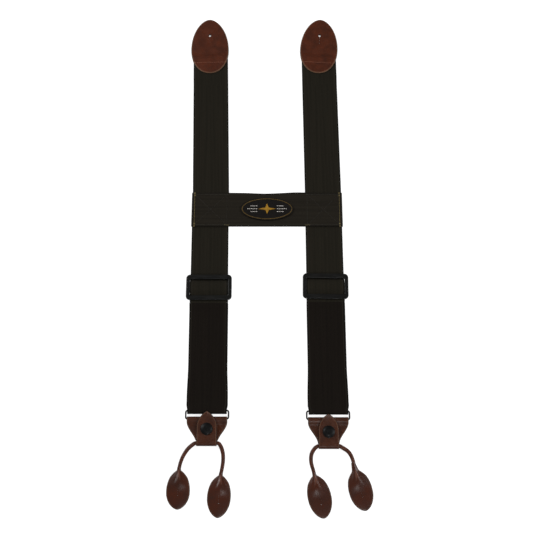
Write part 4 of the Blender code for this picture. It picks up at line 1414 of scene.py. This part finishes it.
@dataclass
class Adjuster(OneSide):
    """The moulded tri-glide: a frame with a lower bar that the strap's end is sewn round."""

    length: float = 0.0604
    width: float = 0.0348
    slot_length: float = 0.0505
    slot_width: float = 0.0224
    frame_z: tuple[float, float] = (0.0050, 0.0078)
    bar_z: tuple[float, float] = (0.0017, BAR_TOP)
    bar_width: float = 0.0044

    def build(self) -> None:
        """Frame and bar in one moulding."""
        low, high = self.frame_z
        middle_z, half_z = (low + high) / 2, (high - low) / 2
        angles = np.linspace(0, math.tau, 32, endpoint=False)
        power = 0.42
        section = [
            (0.5 - 0.5 * math.copysign(abs(math.cos(a)) ** power, math.cos(a)),
             middle_z + half_z * math.copysign(abs(math.sin(a)) ** power, math.sin(a)))
            for a in angles
        ]
        frame = around(rounded_box(self.length, self.width, 0.0050),
                       rounded_box(self.slot_length, self.slot_width, 0.0016), section)
        x, y = self.plan.middle_at(self.plan.glide_y), self.plan.glide_y

        def place(points: Points) -> Points:
            """Points placed and turned as the adjuster lies."""
            return turn_about(points + np.array([x, y, 0.0]), (x, y), self.plan.glide_turn)

        name = self.name("adjuster_moulding")
        made = self.bench.object(name, frame.moved(place), GLIDE_NYLON)
        inner, outer = self.slot_length / 2, self.length / 2 - 0.0012
        bar_low, bar_high = self.bar_z
        knee = low + 0.0011
        outline = np.array([
            (-outer, bar_low), (outer, bar_low), (outer, knee), (inner, knee), (inner, bar_high),
            (-inner, bar_high), (-inner, knee), (-outer, knee)])
        bar = prism(outline, -self.bar_width / 2, self.bar_width / 2)
        bar = bar.moved(lambda p: np.column_stack([p[:, 0], -p[:, 2], p[:, 1]])).moved(place)
        other = self.bench.object("bar", bar, GLIDE_NYLON)
        bevel = other.modifiers.new("bevel", "BEVEL")
        bevel.width, bevel.segments, bevel.limit_method = 0.0007, 3, "ANGLE"
        bevel.angle_limit = math.radians(50)
        self.bench.apply(made, other, "UNION")
        made.data.shade_smooth()
        made.data.set_sharp_from_angle(angle=math.radians(38))
        self.bench.ride(made, self.name("adjuster"), self.name("adjuster_frame"))


@dataclass
class YokeAndSnap(OneSide):
    """The wire ring, the leather yoke on it, and the tongue that snaps down on the yoke."""

    wire: float = 0.0021
    ring_length: float = 0.0561
    ring_width: float = 0.0126
    width: float = 0.0510
    neck: float = 0.0270
    flap_width: float = 0.0250
    foot_width: float = 0.0256
    flap_length: float = 0.0430
    arch: float = 0.0200
    bow: float = 0.0030
    snap_to_fold: float = 0.0208
    cord_z: float = 0.0039
    cap: float = 0.0154

    @property
    def bar_y(self) -> float:
        """Y of the ring's lower bar."""
        return self.plan.ring_y - (self.ring_width - self.wire)

    @property
    def fold_y(self) -> float:
        """Y of the tongue's fold."""
        return self.plan.snap_y - self.snap_to_fold

    def middle(self, y: Points, share: Points) -> Points:
        """X of everything here."""
        return np.full(len(y), self.plan.leather_x)

    def build(self) -> None:
        """Every piece of the sub-assembly."""
        self.ring()
        self.yoke()
        self.tongue()
        self.snap()

    def ring(self) -> None:
        """The wire ring."""
        outline = rounded_box(self.ring_length - self.wire, self.ring_width - self.wire, 0.0024)
        centre = np.array([self.plan.leather_x, (self.plan.ring_y + self.bar_y) / 2])
        corners = np.vstack([outline, outline[:1]]) + centre
        along = distances(corners)
        even = np.unique(np.concatenate([along[:-1], np.linspace(0, along[-1], 140)[:-1]]))
        route = np.column_stack([np.interp(even, along, corners[:, k]) for k in (0, 1)]
                                + [np.full(len(even), RING_Z)])
        keep = np.linalg.norm(np.diff(route, axis=0, append=route[:1]), axis=1) > 0.00012
        shape = tube(route[keep], self.wire / 2, closed=True)
        made = self.bench.object(self.name("wire_ring"), shape, RING_WIRE)
        self.bench.ride(made, self.name("ring_body"), self.name("ring"))

    def yoke(self) -> None:
        """The shield that folds over the ring's lower bar, with its back ply."""
        bar_y, cord_y = self.bar_y, self.fold_y + self.cord_z
        front, back = PLY_Z, LEATHER_T / 2
        radius = WRAP + LEATHER_T / 2
        path = [(cord_y + 0.0043, front),
                *ease((bar_y - 0.0082, front), (bar_y - 0.0008, RING_Z + radius)),
                *arc((bar_y, RING_Z), radius, 90, -90),
                *ease((bar_y - 0.0004, RING_Z - radius), (bar_y - 0.0030, back), 8),
                (cord_y, back)]

        def half(s: Points, y: Points) -> Points:
            """Half widths from the ring down to the neck."""
            u = np.clip((bar_y - y - 0.0040) / 0.0260, 0, 1)
            wide = (self.width - (self.width - self.neck) * (3 - 2 * u) * u * u) / 2
            v = np.clip((cord_y + 0.0043 - y) / 0.0030, 0, 1)
            return wide * (1 - v) + self.foot_width / 2 * v

        def relief(x: Points, y: Points, s: Points, edge: Points) -> tuple:
            """The puffed shield, faintly uneven."""
            puff = 0.00025 * (1 - np.exp(-edge / 0.003))
            shift = 0.00008 * np.sin((x - self.plan.leather_x) * 190 + y * 60)
            in_front = np.clip((bar_y - cord_y - 0.0051 - s) / 0.004, 0, 1)
            return (puff + shift * np.clip(edge / 0.005, 0, 1)) * in_front, np.zeros_like(x)

        shape = Sheet(path, half, LEATHER_T, self.middle, step=0.0009, columns=44,
                      round_ends=(True, False), relief=relief).build()
        # Painted shade: over the crest of the fold round the ring the edge number is made small, so
        # the burnished dark colour covers the leather where it curves away from the light.
        shade_from_crest = (bar_y + 0.0030 - shape.points[:, 1]) * MM
        mm = shape.numbers["edge_mm"]
        shape.numbers["edge_mm"] = np.where(shade_from_crest < 1.1, np.minimum(mm, 0.3 * shade_from_crest), mm)
        made = self.bench.object(self.name("yoke_leather"), shape, YOKE_HIDE)
        x, y = self.plan.leather_x, self.plan.snap_y
        self.bench.cut_out(made, turned([(0, -0.002), (0.0053, -0.002), (0.0053, 0.0010),
                                         (0.0022, 0.0010), (0.0022, 0.0050), (0, 0.0050)], (x, y)))
        self.bench.ride(made, self.name("yoke_body"), self.name("yoke"))

    def tongue(self) -> None:
        """The tongue: up round the cord and down on the yoke, with a pointed arch at its tip."""
        cord_y, fold_y = self.fold_y + self.cord_z, self.fold_y
        radius = self.cord_z - LEATHER_T / 2
        tip_y, over = fold_y + self.flap_length, self.cord_z + radius
        bow_start = self.plan.snap_y + 0.0085
        ys = np.linspace(cord_y, tip_y, 60)[1:]
        bows = np.clip((ys - bow_start) / (tip_y - bow_start), 0, None) ** 2
        path = [*arc((cord_y, self.cord_z), radius, -90, -270),
                *zip(ys, over + self.bow * bows)]
        arch_radius = (self.arch ** 2 + (self.flap_width / 2) ** 2) / self.flap_width
        arc_length = math.pi * radius

        def half(s: Points, y: Points) -> Points:
            """Half widths of the tongue, with its pointed arch."""
            rest = np.clip(self.arch - (tip_y - y), 0, self.arch)
            arched = self.flap_width / 2 - arch_radius + np.sqrt(arch_radius ** 2 - rest ** 2)
            share = np.clip((y - fold_y) / 0.0080, 0, 1) * (s > arc_length * 0.6)
            plain = (self.foot_width + (self.flap_width - self.foot_width) * share) / 2
            return np.where(rest > 0, np.maximum(arched, 0), plain)

        snap = np.array([self.plan.leather_x, self.plan.snap_y])

        def relief(x: Points, y: Points, s: Points, edge: Points) -> tuple:
            """The puffed face, sunk round the snap."""
            flat = np.clip((s - arc_length) / 0.004, 0, 1)
            near = np.hypot(x - snap[0], y - snap[1])
            sunk = -0.00022 * np.exp(-((near - 0.0088) / 0.0022) ** 2)
            puff = 0.00022 * (1 - np.exp(-edge / 0.0025))
            roll = 0.00010 * np.sin(x * 260 + y * 170) * np.clip(edge / 0.004, 0, 1)
            return (puff + sunk + roll) * flat, np.zeros_like(x)

        shape = Sheet(path, half, LEATHER_T, self.middle, step=0.0006, columns=36,
                      relief=relief).build()
        made = self.bench.object(self.name("tongue"), shape, YOKE_HIDE)
        hole = turned([(0, 0.005), (0.0022, 0.005), (0.0022, 0.010), (0, 0.010)], snap)
        self.bench.cut_out(made, hole)
        x = self.plan.leather_x
        self.bench.blend(made, (self.name("yoke_body"), self.name("flap_body")),
                         (x, fold_y, 0.0012), (x, fold_y, 0.0060), self.name("snap_flap"))

    def snap(self) -> None:
        """Cap and socket on the tongue, stud and eyelet on the yoke."""
        name, at = self.plan.name, (self.plan.leather_x, self.plan.snap_y)
        under = 0.0063
        top = under + LEATHER_T + GAP
        r = self.cap / 2
        dome = [(r * 0.80, top + 0.00135), (r * 0.70, top + 0.00165), (r * 0.55, top + 0.00195),
                (r * 0.40, top + 0.0021), (r * 0.30, top + 0.00208), (r * 0.22, top + 0.00196),
                (r * 0.10, top + 0.00188)]
        cap = [(0, under), (0.0016, under), (0.0016, top - 0.0002), (r - 0.0006, top - 0.0002),
               (r - 0.0001, top), (r, top + 0.00035), (r - 0.0002, top + 0.00075),
               (r - 0.0006, top + 0.0009), (r * 0.87, top + 0.00095), *dome, (0, top + 0.00187)]
        made = self.bench.object(f"{name}_snap_button", turned(cap, at, 64), CAP_PAINT, 60)
        self.bench.ride(made, f"{name}_flap_body", f"{name}_snap_cap")
        socket = [(0, under - 0.0006), (0.0026, under - 0.0006), (0.0028, under - 0.0008),
                  (0.0028, under - 0.0015), (0.0031, under - 0.0018), (0.0050, under - 0.0016),
                  (0.0054, under - 0.0013), (0.0051, under - 0.0003), (0, under - 0.0003)]
        made = self.bench.object(f"{name}_snap_female", turned(socket, at), SNAP_BRASS)
        self.bench.ride(made, f"{name}_flap_body", f"{name}_snap_socket")
        base = 0.0036
        stud = [(0, base), (0.0044, base), (0.0047, base + 0.0002), (0.0044, base + 0.0005),
                (0.0021, base + 0.0006), (0.0019, base + 0.0008), (0.0024, base + 0.0012),
                (0.0022, base + 0.0015), (0.0014, base + 0.0017), (0, base + 0.0017)]
        made = self.bench.object(f"{name}_snap_male", turned(stud, at), SNAP_BRASS)
        self.bench.ride(made, f"{name}_yoke_body", f"{name}_snap_stud")
        eyelet = [(0, 0.0006), (0.0014, 0.0005), (0.0019, 0.0001), (0.0046, 0.0001),
                  (0.0050, 0.0004), (0.0048, 0.0007), (0.0017, 0.0008), (0.0017, 0.0033),
                  (0, 0.0033)]
        made = self.bench.object(f"{name}_snap_rivet", turned(eyelet, at), SNAP_BRASS)
        self.bench.ride(made, f"{name}_yoke_body", f"{name}_snap_eyelet")


@dataclass
class CordAndTabs(OneSide):
    """The rolled-leather cord through the tongue's fold, with a teardrop tab at each end."""

    diameter: float = 0.0042
    cord_z: float = 0.0039
    tab_width: float = 0.0290
    hole_from_tip: float = 0.0168
    hole_radius: float = 0.0003  # the buttonhole lies all but shut
    bend_from: float = 0.0005    # a point this far behind its neck goes to blend as its start
    bend_to: float = 0.0090      # and one this far along it as its end

    def build(self) -> None:
        """The cord and both tabs."""
        self.cord()
        for tab in self.plan.tabs:
            self.tab(tab)

    @staticmethod
    def swell(along: Points) -> Points:
        """The roll is squeezed in the tongue's fold, full beside it and drawn in at the tabs."""
        middle = along[-1] / 2
        off = np.abs(along - middle)
        return np.interp(off, [0.0, 0.0120, 0.0165, 0.0230, 0.0400, 0.0500],
                         [1.10, 1.10, 1.20, 1.22, 1.12, 1.08])

    def cord(self) -> None:
        """The cord, with the seam of its roll."""
        plan, x = self.plan, self.plan.leather_x
        cord_y, low = plan.snap_y - 0.0208 + self.cord_z, self.diameter / 2 + 0.0003
        inside = [np.array((x + dx, cord_y, self.cord_z))
                  for dx in (-0.0125, -0.0062, 0, 0.0062, 0.0125)]

        def on_surface(route: tuple, near_end: int) -> list[Points]:
            """The points of one leg, raised where it meets the fold."""
            points = [np.array((x + dx, plan.snap_y + dy, low)) for dx, dy in route]
            points[near_end][2] = (self.cord_z + low) / 2 + 0.0004
            return points

        route = smooth_route(
            [*on_surface(plan.cord[0], -1), *inside, *on_surface(plan.cord[1], 0)], 0.0009)
        along = distances(route)
        route[:, 2] = np.maximum(route[:, 2], self.diameter / 2 * self.swell(along) + 0.0001)
        shape = tube(route, self.diameter / 2, sides=24, ends=0.0006, swell=self.swell,
                     shape=lambda a: 1 - 0.12 * np.exp(-((a - 0.9) / 0.18) ** 2))
        shape.numbers["edge_mm"] = np.full(len(shape.points), 9.0)
        made = self.bench.object(self.name("rolled_cord"), shape, CORD_HIDE, 60)
        self.bench.ride(made, self.name("cord_body"), self.name("leather_cord"))

    def tab(self, tab: TabPlan) -> None:
        """One teardrop: two plies that wrap the cord's end, and a buttonhole."""
        plan, widest = self.plan, tab.widest * tab.length
        neck = (plan.leather_x + tab.neck[0], plan.snap_y + tab.neck[1])
        lean = math.radians(tab.lean)

        def place(points: Points) -> Points:
            """Points placed and leaned as the tab lies."""
            return turn_about(points + np.array([neck[0], neck[1], 0.0]), neck, tab.lean)

        def half(s: Points, y: Points) -> Points:
            """Half widths of the teardrop, with its neck over the cord."""
            plain = leaf(np.maximum(-y, 0), tab.length, self.tab_width, widest, 0.62, 0.6)
            neck_half = (0.0023 + 0.0030 * np.clip((0.0035 - y) / 0.0120, 0, 1) ** 2
                         + tab.flare * np.clip((tab.sleeve - y) / tab.sleeve, 0, 1))
            soft = np.sqrt(plain ** 2 + neck_half ** 2)
            return np.where(-y < widest, plain + (soft - plain) * np.clip(
                (widest + y) / widest, 0, 1), plain)

        creases = [[(side * 0.0006, 0.0), (side * 0.0026, -0.0080), (side * 0.0058, -0.0165)]
                   for side in (-1, 1)]
        ridges = [[(0.0, 0.0), (side * 0.0016, -0.0110)] for side in (-1, 1)]
        crown_x = 0.0022 if tab.lean < 0 else -0.0010

        def relief(x: Points, y: Points, s: Points, edge: Points) -> tuple:
            """The wrap over the cord, its folds and the puffed face."""
            far = -y
            fall = np.clip((0.0275 - far) / 0.0140, 0, 1)
            wide = np.clip(0.0027 + 0.36 * np.maximum(far, 0), 0.0027, 0.0085)
            off = x - crown_x * np.clip(far / 0.015, 0, 1)
            wrap = 0.0018 * fall * fall * (3 - 2 * fall) * np.exp(-(off / wide) ** 2)
            puff = 0.0008 * (1 - np.exp(-edge / 0.0050)) * np.clip(far / 0.008, 0, 1)
            fold = dent(x, y, creases, 0.0004, 0.0017) * np.clip((0.018 - far) / 0.009, 0, 1)
            roll = 0.00005 * np.sin(x * 300 + y * 130) * np.clip(edge / 0.004, 0, 1)
            return wrap + puff + fold + roll, wrap * 0.9 + puff * 0.6

        outline = keyhole((0.0, -tab.length + self.hole_from_tip), (0, 1), self.hole_radius)
        body = self.name(f"{tab.name}_tab")
        toward = np.array([math.sin(lean), -math.cos(lean), 0.0])
        start = np.array([*neck, 0.0])
        for ply, height in (("back", LEATHER_T / 2), ("face", PLY_Z)):
            path = [(tab.sleeve, height), (-tab.length, height)]
            # The path runs toward -Y, so the sheet's outer face is its lower one.
            shape = Sheet(
                path, half, LEATHER_T, lambda y, u: np.zeros(len(y)), leaf_rows=90, columns=34,
                relief=(lambda x, y, s, e: tuple(-v for v in relief(x, y, s, e)[::-1]))
                if ply == "face" else None).build()
            at_x, at_y = shape.points[:, 0], shape.points[:, 1]
            # Painted highlight: pale along the two ridges that run down from the neck.
            shape.numbers["ridge_highlight"] = (np.exp(-(distance_to_lines(at_x, at_y, ridges) / 0.0008) ** 2)
                                     * np.clip((0.0130 + at_y) / 0.006, 0, 1))
            made = self.bench.object(self.name(f"{tab.name}_teardrop_{ply}"),
                                     shape.moved(place), TAB_HIDE)
            self.bench.cut_out(made, prism(outline, -0.002, 0.008).moved(place))
            self.bench.blend(made, (self.name("cord_body"), body),
                             start - toward * self.bend_from, start + toward * self.bend_to,
                             self.name(f"{tab.name}_tab_{ply}"))


# ---- the studio ---------------------------------------------------------------------------------
@dataclass
class Studio:
    """A plain pale floor, soft lights and the camera."""

    bench: Bench
    distance: float = 1.150
    tilt: float = 19.0
    lens: float = 57.95

    def build(self) -> None:
        """Everything that isn't the object."""
        self.camera()
        self.floor()
        self.lights()
        bpy.context.scene.view_settings.view_transform = "Standard"

    def camera(self) -> None:
        """A camera in front of the object's middle, tilted a little from straight down."""
        data = bpy.data.cameras.new("camera")
        data.lens, data.sensor_width = self.lens, 36.0
        made = bpy.data.objects.new("camera", data)
        bpy.context.scene.collection.objects.link(made)
        tilt = math.radians(self.tilt)
        aim = self.bench.origin + np.array([-0.0007, -0.0815, 0])
        made.location = tuple(aim + self.distance * np.array([0, -math.sin(tilt), math.cos(tilt)]))
        made.rotation_euler = (tilt, 0, 0)
        bpy.context.scene.camera = made

    def floor(self) -> None:
        """A matt white light table."""
        mesh = bpy.data.meshes.new("floor")
        mesh.from_pydata([(-6, -6, -0.0004), (6, -6, -0.0004), (6, 6, -0.0004), (-6, 6, -0.0004)],
                         [], [(0, 1, 2, 3)])
        made = bpy.data.objects.new("floor", mesh)
        bpy.context.scene.collection.objects.link(made)
        material = bpy.data.materials.new("matt_white_paper")
        material.use_nodes = True
        shader = material.node_tree.nodes["Principled BSDF"]
        shader.inputs["Base Color"].default_value = linear("a8a8a8")
        shader.inputs["Roughness"].default_value = 0.95
        shader.inputs["Emission Color"].default_value = (1.0, 1.0, 1.0, 1.0)
        shader.inputs["Emission Strength"].default_value = 0.80
        mesh.materials.append(material)

    def light(self, name: str, place: Sequence[float], size: float, power: float) -> None:
        """A square softbox that faces the object."""
        data = bpy.data.lights.new(name, "AREA")
        data.shape, data.size, data.energy = "SQUARE", size, power
        made = bpy.data.objects.new(name, data)
        bpy.context.scene.collection.objects.link(made)
        made.location = place
        away = made.location.normalized()
        made.rotation_euler = away.to_track_quat("Z", "Y").to_euler()

    def lights(self) -> None:
        """An even white sky with a large softbox behind the object and a fill in front."""
        world = bpy.data.worlds.new("studio")
        world.use_nodes = True
        sky = world.node_tree.nodes["Background"]
        sky.inputs["Color"].default_value = (1.0, 1.0, 1.0, 1.0)
        sky.inputs["Strength"].default_value = 0.30
        bpy.context.scene.world = world
        self.light("key", (-1.30, 0.70, 1.25), 0.7, 22.0)
        self.light("fill", (1.40, -0.10, 1.15), 0.9, 17.0)
        self.light("kicker", (0.12, -0.89, 1.22), 0.15, 5.2)


def main() -> None:
    """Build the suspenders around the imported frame."""
    logging.basicConfig(level=logging.INFO, format="%(message)s")
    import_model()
    bench = Bench()
    Studio(bench).build()
    CrossBand(bench).build()
    for plan in (LEFT, RIGHT):
        Strap(bench, plan).build()
        EggTab(bench, plan).build()
        Adjuster(bench, plan).build()
        YokeAndSnap(bench, plan).build()
        CordAndTabs(bench, plan).build()


if __name__ == "__main__":
    main()
